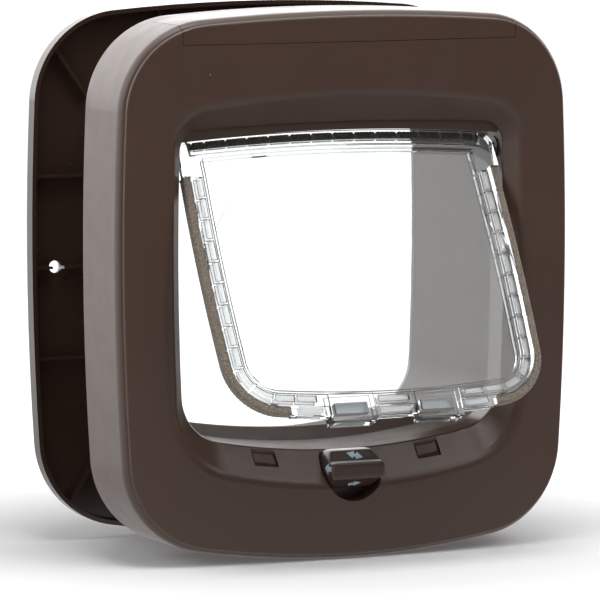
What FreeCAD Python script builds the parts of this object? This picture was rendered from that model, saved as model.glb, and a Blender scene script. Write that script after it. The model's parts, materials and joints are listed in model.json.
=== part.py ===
"""Cat flap for a door: a room-side case with a swinging clear flap, and a telescoping outer frame.

X runs to the right seen from the room, -Y points into the room, +Z is up. Y = 0 is the face of
the case that meets the door. X = 0, Z = 0 lies midway between the two door screws.
All sizes are millimetres.
"""
import FreeCAD, Part
import math
import os
import re

from FreeCAD import Placement, Rotation, Vector

doc = FreeCAD.newDocument("CatFlap")

SIZES = {
    # passage
    "mouth_half": (86.5, "half the width of the cat's passage"),
    "mouth_top": (75.1, "top of the passage above the screw line"),
    "mouth_low": (83.5, "sill of the passage below the screw line"),
    "mouth_side_round": (1530, "radius of the passage's bowed sides"),
    "mouth_top_round": (1400, "radius of the passage's bowed top"),
    "mouth_low_round": (340, "radius of the passage's bowed sill"),
    "mouth_corner": (10, "radius of the passage's upper corners"),
    "mouth_low_corner": (24, "radius of the passage's lower corners"),
    # room-side case
    "case_beside": (33.5, "passage's side to the case's side"),
    "case_above": (54.2, "passage's top to the case's top"),
    "case_below": (52, "passage's sill to the case's bottom"),
    "case_waist": (13.4, "height at which the case is widest"),
    "case_depth": (52, "depth of the case at its middle"),
    "side_round": (1530, "radius of the bowed sides"),
    "top_round": (940, "radius of the bowed top"),
    "low_round": (480, "radius of the bowed bottom"),
    "corner_round": (45.6, "radius of the outline's corners"),
    "face_round": (905, "radius of the bowed front face"),
    "case_edge_round": (4.2, "rounding of the case's front edge"),
    "case_wall": (2.5, "wall of the case"),
    "flange_width": (5, "ledge inside the case's front edge"),
    "flange_thick": (2.2, "thickness of that ledge"),
    # front bezel
    "bezel_inset": (2.4, "step in from the case's outline to the bezel's"),
    "bezel_thick": (2, "thickness of the bezel's face"),
    "bezel_edge_round": (1.1, "rounding of the bezel's outer edge"),
    "lip_depth": (38, "distance from the door face to the sill's front lip"),
    "funnel_side": (11.8, "how far the funnel opens at each side by the middle of the face"),
    "funnel_rise": (15.3, "how far the funnel opens at the top"),
    "funnel_drop": (15.4, "how far the funnel opens at the bottom"),
    "funnel_low_round": (600, "radius of the funnel's bowed bottom at the face"),
    "funnel_corner": (24, "radius of the funnel's upper corners at the face"),
    "funnel_low_corner": (36, "radius of the funnel's lower corners at the face"),
    "funnel_blend": (7, "rounding between the funnel and the face"),
    "lip_round": (1.6, "rounding of the lip between the funnel and the passage"),
    "collar_wall": (2.5, "wall of the funnel and the collar"),
    # selector dial
    "dial_under": (8.8, "dial axis below the sill"),
    "cup_radius": (15.3, "radius of the dial's round recess"),
    "cup_wall": (2, "wall of that recess"),
    "cup_floor": (39.2, "distance from the door face to the recess's floor"),
    "dial_gap": (0.9, "gap round the dial in its recess"),
    "dial_front": (56.5, "distance from the door face to the grip's front"),
    "grip_tall": (8.6, "height of the grip bar's front"),
    "scoop_tall": (18.8, "height of the dial where its slopes end"),
    "scoop_deep": (9.5, "distance from the grip's front to the end of the slopes"),
    "scoop_start": (3.2, "distance from the grip's front to the start of the slopes"),
    "shaft_radius": (3, "radius of the dial's shaft"),
    "cam_radius": (5.6, "radius of the cam behind the dial"),
    "cam_thick": (3, "thickness of that cam"),
    "cam_wall": (1.2, "wall between the cam's flat and the shaft"),
    # flap
    "axis_depth": (29, "distance from the door face to the flap's axis"),
    "axis_under": (15.3, "flap's axis below the passage's top"),
    "flap_angle": (29, "how far the flap stands open into the room"),
    "flap_gap": (1.5, "gap between a side brush and the passage's side"),
    "flap_above": (10, "flap's top edge above its axis"),
    "flap_clear": (4.9, "shut flap's bottom edge above the sill"),
    "flap_waist": (62, "height below its axis at which the flap is widest"),
    "flap_side_round": (1225, "radius of the flap's bowed sides"),
    "flap_top_round": (924, "radius of the flap's bowed top"),
    "flap_low_round": (600, "radius of the flap's bowed bottom"),
    "flap_corner": (28, "radius of the flap's bottom corners"),
    "flap_shoulder": (7, "radius of the flap's top corners"),
    "least_round": (1, "least radius of a corner inside the rim"),
    "pane_thick": (2.4, "thickness of the clear pane"),
    "rim_width": (7.4, "width of the raised rim round the pane"),
    "rim_thick": (7, "thickness of that rim"),
    "rail_tall": (9.6, "height of the rail at the flap's top"),
    "brush_width": (4.6, "how far a side brush stands out of the rim"),
    "brush_thick": (5, "thickness of a side brush"),
    "brush_start": (11.6, "side brush's top end below the flap's axis"),
    "brush_turn": (31, "flap's side to a side brush's bottom end"),
    "top_brush_inset": (9, "flap's side to the end of the top brush"),
    "top_brush_thick": (3.6, "thickness of the top brush"),
    "top_brush_deep": (7, "depth of the groove for the top brush"),
    "top_pile": (1.2, "how far the top brush stands out of its groove"),
    "block_offset": (22.7, "middle of the flap to the middle of a magnet block"),
    "block_wide": (23.4, "width of a magnet block"),
    "block_tall": (14, "height of a magnet block"),
    "block_thick": (9, "thickness of a magnet block"),
    "block_drop": (2.6, "how far a block stands below the flap's bottom edge"),
    "magnet_wide": (17, "width of a magnet"),
    "magnet_tall": (5.4, "height of a magnet"),
    "magnet_thick": (3, "thickness of a magnet"),
    "pivot_radius": (2.2, "radius of the flap's pivot pins"),
    "bush_radius": (5, "outer radius of a pivot bush"),
    "bush_out": (1.4, "how far a pivot bush stands out of the collar's wall"),
    # catches
    "catch_offset": (43.5, "middle of the part to the middle of a catch"),
    "catch_wide": (11.2, "width of a catch"),
    "catch_thick": (5, "thickness of a catch"),
    "catch_depth": (42, "distance from the door face to the middle of a catch"),
    "catch_under": (16.5, "bottom of a catch's blade below the sill"),
    "catch_sunk": (0.8, "how far a catch's top lies under the funnel's slope"),
    "window_gap": (0.7, "gap round a catch in its window"),
    "stem_radius": (2, "radius of a catch's stem"),
    "stem_length": (24, "length of a catch's stem"),
    "foot_radius": (4.6, "radius of the foot on a catch's stem"),
    "foot_thick": (2, "thickness of that foot"),
    "spring_radius": (3.2, "mean radius of a catch's spring"),
    "spring_wire": (0.5, "wire of a catch's spring"),
    "spring_turns": (7, "turns of a catch's spring"),
    "shelf_half": (56, "half the width of the catches' shelf"),
    "shelf_thick": (3, "thickness of the shelf"),
    "shelf_front": (47, "distance from the door face to the shelf's front"),
    "motor_radius": (5.5, "radius of the latch motor"),
    "motor_length": (24, "length of the latch motor"),
    "motor_offset": (43, "middle of the part to the middle of the motor"),
    "motor_depth": (20, "distance from the door face to the motor's axis"),
    "motor_shaft_radius": (1.1, "radius of the motor's shaft"),
    "motor_shaft_length": (5, "length of the motor's shaft"),
    # battery bay and electronics
    "cover_beside": (1.5, "passage's side to the battery cover's end"),
    "cover_over": (39.4, "lower edge of the battery cover above the passage's top"),
    "cover_rear": (12, "distance from the door face to the cover's rear edge"),
    "cell_radius": (7.25, "radius of a battery cell"),
    "cell_length": (49.2, "length of a battery cell's can"),
    "cell_tip_radius": (2.7, "radius of a cell's raised end"),
    "cell_tip": (1.3, "height of a cell's raised end"),
    "cell_over": (39.9, "axis of the cells above the passage's top"),
    "cell_pitch": (15.5, "distance between the two rows of cells"),
    "cell_depth": (30, "distance from the door face to the middle of the rows"),
    "contact_thick": (0.6, "thickness of a battery contact"),
    "contact_spring": (2, "height of a contact's spring"),
    "contact_spread": (1, "how much wider that spring is at its foot"),
    "contact_inset": (1, "how much less than the pitch a contact reaches to each side"),
    "contact_drop": (2, "how far a contact's top lies below the cells' top"),
    "tray_wall": (1.5, "wall of the battery tray"),
    "tray_inset": (2.5, "passage's side to the end of the tray's floor"),
    "tray_tall": (10, "height of the tray's walls"),
    "board_inset": (4.5, "passage's side to the circuit board's end"),
    "board_thick": (1.6, "thickness of the circuit board"),
    "board_over": (23.5, "top of the circuit board above the passage's top"),
    "board_front": (43, "distance from the door face to the board's front edge"),
    "board_rear": (8, "distance from the door face to the board's rear edge"),
    "board_foot_radius": (2.5, "radius of the feet between board and tray"),
    "board_foot_inset": (4, "distance of those feet from the board's edges"),
    "board_foot_near": (49.2, "middle of the part to a front foot"),
    "chip_wide": (14, "width of the chip"),
    "chip_deep": (10, "depth of the chip"),
    "chip_tall": (1.4, "height of the chip"),
    "chip_back": (8, "distance of the chip from the board's rear edge"),
    "lamp_inset": (11.9, "passage's side to the status light"),
    "lamp_over": (1.8, "height of the status light above the board's top"),
    "lamp_radius": (0.95, "radius of the light pipe"),
    "lamp_block_wide": (3.2, "width of the lamp on the board"),
    "lamp_block_deep": (3, "depth of that lamp"),
    "button_inset": (14.5, "passage's side to the learn button"),
    "button_depth": (28, "distance from the door face to the button's axis"),
    "button_radius": (4.2, "radius of the learn button"),
    "button_tall": (9.5, "height of the learn button above its switch"),
    "button_travel": (1.2, "travel of the learn button"),
    "button_flange": (1, "how far the button's flange stands out"),
    "button_flange_thick": (1.2, "thickness of that flange"),
    "switch_side": (7, "side of the switch under the button"),
    "switch_tall": (4, "height of that switch"),
    "coil_front": (23, "distance from the door face to the aerial coil's front"),
    "coil_deep": (7, "depth of the aerial coil"),
    "coil_thick": (2.4, "thickness of the aerial coil's winding"),
    # tunnel
    "sleeve_wall": (2, "wall of the inner tunnel sleeve"),
    "sleeve_end": (38, "distance the inner sleeve reaches past the door face"),
    "sleeve_flange": (3, "width of the sleeve's flange"),
    "liner_gap": (0.4, "gap between the inner sleeve and the outer liner"),
    "liner_wall": (2, "wall of the outer liner"),
    "threshold_slope": (12, "length of the threshold's slope"),
    "threshold_flat": (4, "length of the threshold's crest"),
    "threshold_tall": (5.2, "height of the threshold above the sill"),
    "threshold_round": (359, "radius of the threshold's bowed crest"),
    "liner_start": (24, "distance from the door face to the outer liner's free end"),
    # outer frame
    "door_space": (60, "space between the case and the outer frame"),
    "outer_beyond": (2, "how far the outer frame's sides stand past the case's"),
    "outer_depth": (10.3, "depth of the outer frame"),
    "outer_wall": (2.2, "wall of the outer frame's rim"),
    "outer_face": (2.4, "thickness of the outer frame's face"),
    "outer_edge_round": (3.8, "rounding of the outer frame's edge"),
    "outer_step_inset": (15.5, "rim to the step in the outer frame's face"),
    "outer_step": (1.6, "height of that step"),
    "rib_thick": (1.4, "thickness of a stiffening rib"),
    "rib_tall": (5.2, "height of a stiffening rib"),
    "rib_spacing": (45, "distance between the level ribs"),
    "upright_spacing": (52, "distance between the upright ribs"),
    "corner_rib_turn": (55, "slant of the corner ribs from level"),
    "corner_rib_beside": (3.5, "passage's side to a corner rib's inner end"),
    "corner_rib_over": (7.9, "inner end of an upper corner rib above the passage's top"),
    "corner_rib_under": (16.5, "inner end of a lower corner rib below the sill"),
    # screws
    "screw_beside": (20.5, "passage's side to a door screw"),
    "screw_hole": (3, "radius of a screw hole in the outer frame"),
    "boss_top_radius": (5.4, "radius of a screw boss at its free end"),
    "boss_base_radius": (7.4, "radius of a screw boss at its foot"),
    "boss_tall": (5.6, "height of a screw boss"),
    "post_radius": (4.5, "radius of a screw post in the case"),
    "post_hole": (2, "radius of the hole in that post"),
    "post_length": (30, "length of that post"),
    "case_screw_beside": (16, "passage's side to a case screw"),
    "case_screw_over": (20.9, "upper case screws above the passage's top"),
    "case_screw_under": (10.5, "lower case screws below the sill"),
    "case_screw_radius": (1.5, "radius of a case screw"),
    "case_screw_head": (3, "radius of a case screw's head"),
    "case_screw_length": (15, "length of a case screw"),
    "pilot_spare": (1, "how much deeper a case screw's hole is than the screw"),
    "screw_sunk": (0.1, "how far a case screw's head lies below the rear face"),
    "slot_width": (0.8, "width of the slot in a case screw's head"),
    "slot_depth": (0.5, "depth of that slot"),
    # clearances
    "running": (0.05, "radial clearance of a turning or sliding fit"),
    "seam": (0.25, "seam between separate mouldings"),
    "clearance": (0.3, "space between pieces that pass each other"),
}

# What follows from the passage and a named distance
LAYOUT = {
    "case_width": "2 * (mouth_half + case_beside)",
    "case_top": "mouth_top + case_above",
    "case_low": "mouth_low + case_below",
    "outer_width": "case_width + 2 * outer_beyond",
    "screw_side": "mouth_half + screw_beside",
    "case_screw_side": "mouth_half + case_screw_beside",
    "case_screw_top": "mouth_top + case_screw_over",
    "case_screw_low": "mouth_low + case_screw_under",
    "dial_drop": "mouth_low + dial_under",
    "axis_height": "mouth_top - axis_under",
    "collar_end": "axis_depth - bush_radius - clearance",
    "flap_half": "mouth_half - flap_gap",
    "flap_below": "axis_height + mouth_low - flap_clear",
    "brush_end": "flap_half - brush_turn",
    "top_brush_half": "flap_half - top_brush_inset",
    "catch_low": "mouth_low + catch_under",
    "cover_half": "mouth_half + cover_beside",
    "cover_low": "mouth_top + cover_over",
    "cell_height": "mouth_top + cell_over",
    "tray_half": "mouth_half - tray_inset",
    "board_half": "mouth_half - board_inset",
    "board_top": "mouth_top + board_over",
    "lamp_offset": "mouth_half - lamp_inset",
    "lamp_height": "board_top + lamp_over",
    "button_offset": "mouth_half - button_inset",
    "corner_rib_side": "mouth_half + corner_rib_beside",
    "corner_rib_top": "mouth_top + corner_rib_over",
    "corner_rib_low": "mouth_low + corner_rib_under",
}

sheet = doc.addObject("Spreadsheet::Sheet", "Sizes")
for row, (alias, (number, note)) in enumerate(SIZES.items(), start=1):
    sheet.set(f"A{row}", note)
    sheet.set(f"B{row}", str(number))
    sheet.setAlias(f"B{row}", alias)
doc.recompute()


def size(alias):
    """The number that one size or place has."""
    return float(sheet.get(alias) if alias in SIZES else getattr(layout, alias))


def cells(text):
    """An expression with each size's name turned into its place in the sheet or the layout."""
    def place(word):
        if word[0] in SIZES:
            return f"Sizes.{word[0]}"
        return f"Layout.{word[0]}" if word[0] in LAYOUT else word[0]
    return re.sub(r"[a-z_]+", place, text)


def bind(item, **links):
    """Bind properties of an object to expressions of sizes; _ in a name stands for a dot."""
    for name, text in links.items():
        item.setExpression(name.replace("_", "."), cells(str(text)))


layout = doc.addObject("App::VarSet", "Layout")
for alias, text in LAYOUT.items():
    layout.addProperty("App::PropertyFloat", alias)
    layout.setExpression(alias, cells(text))
doc.recompute()


# How a solid that points up is turned so that it points along another axis
TURNS = {
    "X": Rotation(Vector(0, 1, 0), 90),
    "Y": Rotation(Vector(1, 0, 0), -90),
    "Z": Rotation(),
}

# How far a cutter reaches past what it cuts, how far past the whole part, and how far one solid
# is sunk into another that it is fused to
PAST = 1
WELL_PAST = 10
SUNK = 0.5


def block(name, x, y, z):
    """A box between two bounds along each axis."""
    item = doc.addObject("Part::Box", name)
    bind(item, Length=f"({x[1]}) - ({x[0]})", Width=f"({y[1]}) - ({y[0]})", Height=f"({z[1]}) - ({z[0]})")
    bind(item, Placement_Base_x=x[0], Placement_Base_y=y[0], Placement_Base_z=z[0])
    return item


def rod(name, radius, axis, span, x="0", y="0", z="0", seam_turn=0):
    """A cylinder along one axis between two bounds, at a place across it."""
    item = doc.addObject("Part::Cylinder", name)
    item.Placement = Placement(Vector(), TURNS[axis] * Rotation(Vector(0, 0, 1), seam_turn))
    at = {"X": x, "Y": y, "Z": z}
    at[axis] = span[0]
    bind(item, Radius=radius, Height=f"({span[1]}) - ({span[0]})")
    bind(item, Placement_Base_x=at["X"], Placement_Base_y=at["Y"], Placement_Base_z=at["Z"])
    return item


def taper(name, radii, axis, span, x="0", y="0", z="0"):
    """A cone along one axis between two bounds, with a radius at each end."""
    item = doc.addObject("Part::Cone", name)
    item.Placement = Placement(Vector(), TURNS[axis])
    at = {"X": x, "Y": y, "Z": z}
    at[axis] = span[0]
    bind(item, Radius1=radii[0], Radius2=radii[1], Height=f"({span[1]}) - ({span[0]})")
    bind(item, Placement_Base_x=at["X"], Placement_Base_y=at["Y"], Placement_Base_z=at["Z"])
    return item


def joined(name, *items):
    """The union of several solids."""
    item = doc.addObject("Part::MultiFuse", name)
    item.Shapes = list(items)
    item.Refine = True
    return item


def chain(kind, name, base, tools):
    """One boolean after another; the last carries the name."""
    for index, tool in enumerate(tools, start=1):
        item = doc.addObject(kind, name if index == len(tools) else f"{name}_{index}")
        item.Base = base
        item.Tool = tool
        item.Refine = True
        base = item
    return base


def cut(name, base, *tools):
    """A solid with others taken out of it."""
    return chain("Part::Cut", name, base, tools)


def shared(name, base, *tools):
    """What all the solids have in common."""
    return chain("Part::Common", name, base, tools)


def along(axis):
    """A test for straight edges along one axis."""
    def test(edge):
        if edge.Curve.TypeId != "Part::GeomLine":
            return False
        return abs(abs(edge.Curve.Direction.dot(axis)) - 1) < 1e-6
    return test


def rounded(name, base, test, radius):
    """A solid with the edges that pass a test rounded; radius is a number or a rule for each edge."""
    doc.recompute()
    item = doc.addObject("Part::Fillet", name)
    item.Base = base
    picked = [(index, edge) for index, edge in enumerate(base.Shape.Edges, start=1) if test(edge)]
    rule = radius if callable(radius) else lambda edge: radius
    item.Edges = [(index, rule(edge), rule(edge)) for index, edge in picked]
    return item


def formed(name, shape):
    """A piece whose shape is made in code."""
    item = doc.addObject("Part::Feature", name)
    item.Shape = shape
    return item


# Outlines

FACE_SPAN = (f"-case_low - {WELL_PAST}", f"case_top + {WELL_PAST}")


def bowed(name, inset, y, front=None, width="case_width", top="case_top", low="case_low"):
    """The case's bowed outline drawn in by an inset, between two depths, under the bowed face."""
    half = f"({width}) / 2"
    across = f"(side_round) - ({inset})"
    sides = [
        rod(f"{name}_left", across, "Y", y, x=f"side_round - {half}", z="case_waist"),
        rod(f"{name}_right", across, "Y", y, x=f"{half} - side_round", z="case_waist", seam_turn=180),
        rod(f"{name}_top", f"top_round - ({inset})", "Y", y, z=f"{top} - top_round"),
        rod(f"{name}_low", f"low_round - ({inset})", "Y", y, z=f"low_round - ({low})"),
    ]
    if front is not None:
        sides.append(rod(f"{name}_face", f"face_round - ({front})", "Z", FACE_SPAN,
                         y="face_round - case_depth"))
    return shared(f"{name}_square", sides[0], *sides[1:])


def bowed_round(name, inset, inset_number, y, front=None, **outline):
    """The bowed outline with its four corners rounded."""
    square = bowed(name, inset, y, front, **outline)
    return rounded(f"{name}_round", square, along(Vector(0, 1, 0)), size("corner_round") - inset_number)


def on_face(behind):
    """A test for edges that lie in the bowed face, or a set distance behind it."""
    radius = size("face_round") - behind
    middle = size("face_round") - size("case_depth")

    def test(edge):
        points = edge.discretize(5)
        return all(abs(Vector(p.x, p.y - middle, 0).Length - radius) < 1e-3 for p in points)
    return test


def duct(name, grow, y):
    """The passage's bowed outline, grown by a wall or a gap, between two depths."""
    across = f"mouth_side_round + ({grow})"
    sides = [
        rod(f"{name}_left", across, "Y", y, x="mouth_side_round - mouth_half", z="case_waist"),
        rod(f"{name}_right", across, "Y", y, x="mouth_half - mouth_side_round", z="case_waist", seam_turn=180),
        rod(f"{name}_top", f"mouth_top_round + ({grow})", "Y", y, z="mouth_top - mouth_top_round"),
        rod(f"{name}_low", f"mouth_low_round + ({grow})", "Y", y, z="mouth_low_round - mouth_low"),
    ]
    return shared(f"{name}_square", sides[0], *sides[1:])


def duct_round(name, grow, grow_number, y):
    """The same with its four long edges rounded, the lower ones more than the upper ones."""
    def radius(edge):
        upper = edge.CenterOfMass.z > 0
        return size("mouth_corner" if upper else "mouth_low_corner") + grow_number
    return rounded(name, duct(name, grow, y), along(Vector(0, 1, 0)), radius)


# Room-side case

def case_shells():
    """The case's side wall with its ledge, and the bezel's plain face, both before any opening."""
    step, wall = size("bezel_thick"), size("case_wall")
    outer = bowed_round("case_outer", "0", 0, ("-case_depth", "0"), front="bezel_thick")
    outer = rounded("case_outer_soft", outer, on_face(step), size("case_edge_round"))
    hollow = bowed_round("case_hollow", "case_wall", wall, ("-case_depth", f"{PAST}"),
                         front="bezel_thick + flange_thick")
    inside = "case_wall + flange_width"
    window = bowed_round("case_window", inside, wall + size("flange_width"),
                         ("-case_depth", f"{PAST}"))
    side = cut("case_side_full", outer, hollow, window)
    plate = bowed_round("bezel_outer", "bezel_inset", size("bezel_inset"), ("-case_depth", "0"), front="0")
    plate = rounded("bezel_outer_soft", plate, on_face(0), size("bezel_edge_round"))
    behind = rod("bezel_back", "face_round - bezel_thick", "Z", FACE_SPAN, y="face_round - case_depth")
    face = cut("bezel_face_full", plate, behind)
    return side, face


def corner_centre(first, second, radius, outward):
    """The centre of the corner arc that touches two circles, each a centre and a radius, from inside."""
    near, far = first[1] - radius, second[1] - radius
    between = second[0] - first[0]
    run = (near ** 2 - far ** 2 + between.Length ** 2) / (2 * between.Length)
    off = math.sqrt(near ** 2 - run ** 2)
    way = Vector(between).normalize()
    square = Vector(-way.z, 0, way.x)
    both = [first[0] + way * run + square * side for side in (off, -off)]
    return max(both, key=lambda point: point.dot(outward))


def touch(circle, centre):
    """Where a circle meets a corner arc that touches it from inside."""
    return circle[0] + (centre - circle[0]).normalize() * circle[1]


def bowed_wire(circles, corners):
    """A closed wire of four bowed sides, going round from the right, with a round corner after each."""
    signs = [(1, 1), (-1, 1), (-1, -1), (1, -1)]
    places = []
    for index, (radius, (side, height)) in enumerate(zip(corners, signs)):
        centre = corner_centre(circles[index], circles[(index + 1) % 4], radius, Vector(side, 0, height))
        places.append((centre, touch(circles[index], centre), touch(circles[(index + 1) % 4], centre)))
    edges = []
    for index, (radius, (centre, begin, finish)) in enumerate(zip(corners, places)):
        middle = centre + ((begin + finish) / 2 - centre).normalize() * radius
        edges.append(Part.Arc(begin, middle, finish).toShape())
        side, following = circles[(index + 1) % 4], places[(index + 1) % 4][1]
        middle = side[0] + ((finish + following) / 2 - side[0]).normalize() * side[1]
        edges.append(Part.Arc(finish, middle, following).toShape())
    return Part.Wire(Part.__sortEdges__(edges))


def funnel(name, grow, start, stop):
    """The funnel round the mouth between two depths, grown outwards by a wall."""
    def ring(depth):
        share = (depth - size("lip_depth")) / (size("case_depth") - size("lip_depth"))

        def between(lip, face):
            return size(lip) + grow + share * (size(face) - size(lip))
        half = size("mouth_half") + grow + share * size("funnel_side")
        top = size("mouth_top") + grow + share * size("funnel_rise")
        low = size("mouth_low") + grow + share * size("funnel_drop")
        side_round = size("mouth_side_round") + grow
        top_round = size("mouth_top_round") + grow
        low_round = between("mouth_low_round", "funnel_low_round")
        circles = [(Vector(half - side_round, -depth, size("case_waist")), side_round),
                   (Vector(0, -depth, top - top_round), top_round),
                   (Vector(side_round - half, -depth, size("case_waist")), side_round),
                   (Vector(0, -depth, low_round - low), low_round)]
        upper = between("mouth_corner", "funnel_corner")
        lower = between("mouth_low_corner", "funnel_low_corner")
        return bowed_wire(circles, [upper, upper, lower, lower])
    return formed(name, Part.makeLoft([ring(start), ring(stop)], True, True))


PAST_FRONT = f"-case_depth - {WELL_PAST}"

# How far in front of the case the funnel's own shape is carried on
FUNNEL_PAST = 4

CASE_SCREWS = [(side, height) for side in ("-case_screw_side", "case_screw_side")
               for height in ("case_screw_top", "-case_screw_low")]


def cover_space(name, gap):
    """The space that the battery cover fills, grown by a gap."""
    return block(name, (f"-cover_half - {gap}", f"cover_half + {gap}"), (PAST_FRONT, f"-cover_rear + {gap}"),
                 (f"cover_low - {gap}", f"case_top + {WELL_PAST}"))


def make_side_housing(side):
    """The case's side wall, open where the battery cover sits."""
    return cut("side_housing", side, cover_space("side_cover_gap", "seam"))


def make_battery_cover(side, face):
    """The battery cover: a corner of the same case, cut out of wall and face alike."""
    return shared("battery_cover", joined("case_full", side, face), cover_space("cover_body", "0"))


def round_funnel(edge):
    """Whether an edge runs round the funnel in the bowed face."""
    reach = size("mouth_half") + size("funnel_side") + SUNK
    low = -size("mouth_low") - size("funnel_drop") - SUNK
    high = size("mouth_top") + size("funnel_rise") + SUNK
    return on_face(0)(edge) and all(abs(p.x) < reach and low < p.z < high for p in edge.discretize(5))


def at_lip(edge):
    """Whether an edge runs round the mouth where the funnel ends."""
    reach, low, high = size("mouth_half") + SUNK, -size("mouth_low") - SUNK, size("mouth_top") + SUNK
    return all(abs(p.y + size("lip_depth")) < 1e-3 and abs(p.x) < reach and low < p.z < high
               for p in edge.discretize(5))


def make_front_bezel(face):
    """The front bezel: bowed face, funnel, collar, dial recess, catch windows and screw posts."""
    wall, past = size("collar_wall"), size("case_depth") + FUNNEL_PAST
    limit = bowed_round("bezel_limit", "bezel_inset + bezel_edge_round",
                        size("bezel_inset") + size("bezel_edge_round"), ("-case_depth", "0"),
                        front="bezel_thick / 2")
    slopes = funnel("funnel_outer", wall, size("lip_depth"), past)
    cup = rod("cup_outer", "cup_radius + cup_wall", "Y", (PAST_FRONT, "-cup_floor + cup_wall"),
              z="-dial_drop")
    pipe_seat = rod("lamp_seat", "lamp_radius + collar_wall", "Y", (PAST_FRONT, "-board_front"),
                    x="-lamp_offset", z="lamp_height")
    body = shared("bezel_depth", joined("bezel_bulk", slopes, cup, pipe_seat), limit)
    collar = duct_round("collar_outer", "collar_wall", wall, ("-lip_depth", "-collar_end"))
    posts = [rod(f"case_post_{index}", "post_radius", "Y",
                 ("face_round - case_depth - sqrt((face_round - bezel_thick / 2) ^ 2 - case_screw_side ^ 2)",
                  "-case_wall"), x=side, z=height)
             for index, (side, height) in enumerate(CASE_SCREWS, start=1)]
    bulk = joined("bezel_solid", face, body, collar, *posts)
    opened = cut("bezel_open", bulk, funnel("funnel_hollow", 0, size("lip_depth"), past),
                 duct_round("mouth_hole", "0", 0, (PAST_FRONT, "0")))
    soft = rounded("bezel_lip_soft", opened, at_lip, size("lip_round"))
    soft = rounded("bezel_face_soft", soft, round_funnel, size("funnel_blend"))
    tools = [
        rod("cup_hollow", "cup_radius", "Y", (PAST_FRONT, "-cup_floor"), z="-dial_drop"),
        rod("shaft_hole", "shaft_radius + running", "Y", (PAST_FRONT, "0"), z="-dial_drop"),
        rod("lamp_hole", "lamp_radius + running", "Y", (PAST_FRONT, "0"), x="-lamp_offset", z="lamp_height"),
        cover_space("bezel_cover_gap", "seam"),
    ]
    for label, sign in (("left", "-1"), ("right", "1")):
        near, far = "catch_wide / 2 + window_gap", "catch_thick / 2 + window_gap"
        middle = f"{sign} * catch_offset"
        tools.append(block(f"{label}_window", (f"{middle} - ({near})", f"{middle} + {near}"),
                           (f"-catch_depth - ({far})", f"-catch_depth + {far}"),
                           ("-case_low", "-mouth_low / 2")))
    reach = f"mouth_half + collar_wall + {PAST}"
    tools.append(rod("bush_holes", "bush_radius + running", "X", (f"-({reach})", reach), y="-axis_depth",
                     z="axis_height"))
    tools += [rod(f"case_pilot_{index}", "case_screw_radius + running", "Y",
                  ("-case_screw_length - pilot_spare", "0"), x=side, z=height)
              for index, (side, height) in enumerate(CASE_SCREWS, start=1)]
    return cut("front_bezel", soft, *tools)


def make_rear_housing():
    """The plate that closes the case against the door, with its two door-screw posts."""
    inset = size("case_wall") + size("seam")
    plate = bowed_round("rear_plate", "case_wall + seam", inset, ("-case_wall", "0"))
    posts = [rod(f"{label}_door_post", "post_radius", "Y", ("-post_length", "0"),
                 x=f"{sign} * screw_side")
             for label, sign in (("left", "-1"), ("right", "1"))]
    bulk = joined("rear_solid", plate, *posts)
    through = (f"-case_wall - {PAST}", f"{PAST}")
    opening = duct_round("rear_hole", "sleeve_wall", size("sleeve_wall"), through)
    tools = [opening]
    tools += [rod(f"{label}_door_hole", "post_hole", "Y", (f"-post_length - {PAST}", f"{PAST}"),
                  x=f"{sign} * screw_side") for label, sign in (("left", "-1"), ("right", "1"))]
    for index, (side, height) in enumerate(CASE_SCREWS, start=1):
        tools.append(rod(f"case_hole_{index}", "case_screw_radius + clearance", "Y", through,
                         x=side, z=height))
        tools.append(rod(f"case_sink_{index}", "case_screw_head + clearance", "Y",
                         ("-case_wall / 2", f"{PAST}"),
                         x=side, z=height))
    return cut("rear_housing", bulk, *tools)


def make_case_screws():
    """The four screws that hold the rear housing to the bezel's posts."""
    screws = []
    for index, (side, height) in enumerate(CASE_SCREWS, start=1):
        shank = rod(f"screw_shank_{index}", "case_screw_radius", "Y",
                    ("-case_screw_length", "-case_wall / 4"), x=side, z=height)
        head = rod(f"screw_head_{index}", "case_screw_head", "Y", ("-case_wall / 2", "-screw_sunk"),
                   x=side, z=height)
        slot = block(f"screw_slot_{index}", (f"{side} - case_screw_head", f"{side} + case_screw_head"),
                     ("-screw_sunk - slot_depth", "0"),
                     (f"{height} - slot_width / 2", f"{height} + slot_width / 2"))
        screws.append(cut(f"screw_{index}", joined(f"screw_solid_{index}", shank, head), slot))
    group = doc.addObject("Part::Compound", "case_screws")
    group.Links = screws
    return group


# Tunnel and outer frame

def make_threshold():
    """The raised threshold across the tunnel's floor: a slope up from the sill to a bowed crest."""
    middle = "threshold_round + threshold_tall - mouth_low"
    end = "threshold_slope + threshold_flat"
    body = duct_round("threshold_body", "sleeve_wall / 2", size("sleeve_wall") / 2, ("0", end))
    slope = taper("threshold_ramp", ("threshold_round + threshold_tall", "threshold_round"), "Y",
                  ("0", "threshold_slope"), z=middle)
    crest = rod("threshold_crest", "threshold_round", "Y", ("threshold_slope", f"{end} + {PAST}"), z=middle)
    return cut("threshold", body, slope, crest)


def make_tunnel_sleeve():
    """The inner tunnel: a tube with a flange against the rear housing and a threshold across its floor."""
    wall = size("sleeve_wall")
    outer = duct_round("sleeve_outer", "sleeve_wall", wall, ("-collar_end", "sleeve_end"))
    flange = duct_round("sleeve_ledge", "sleeve_wall + sleeve_flange", wall + size("sleeve_flange"),
                        ("-case_wall - sleeve_wall", "-case_wall"))
    hollow = duct_round("sleeve_hollow", "0", 0, (f"-collar_end - {PAST}", f"sleeve_end + {PAST}"))
    tube = cut("sleeve_tube", joined("sleeve_solid", outer, flange), hollow)
    return joined("tunnel_sleeve", tube, make_threshold())


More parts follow.
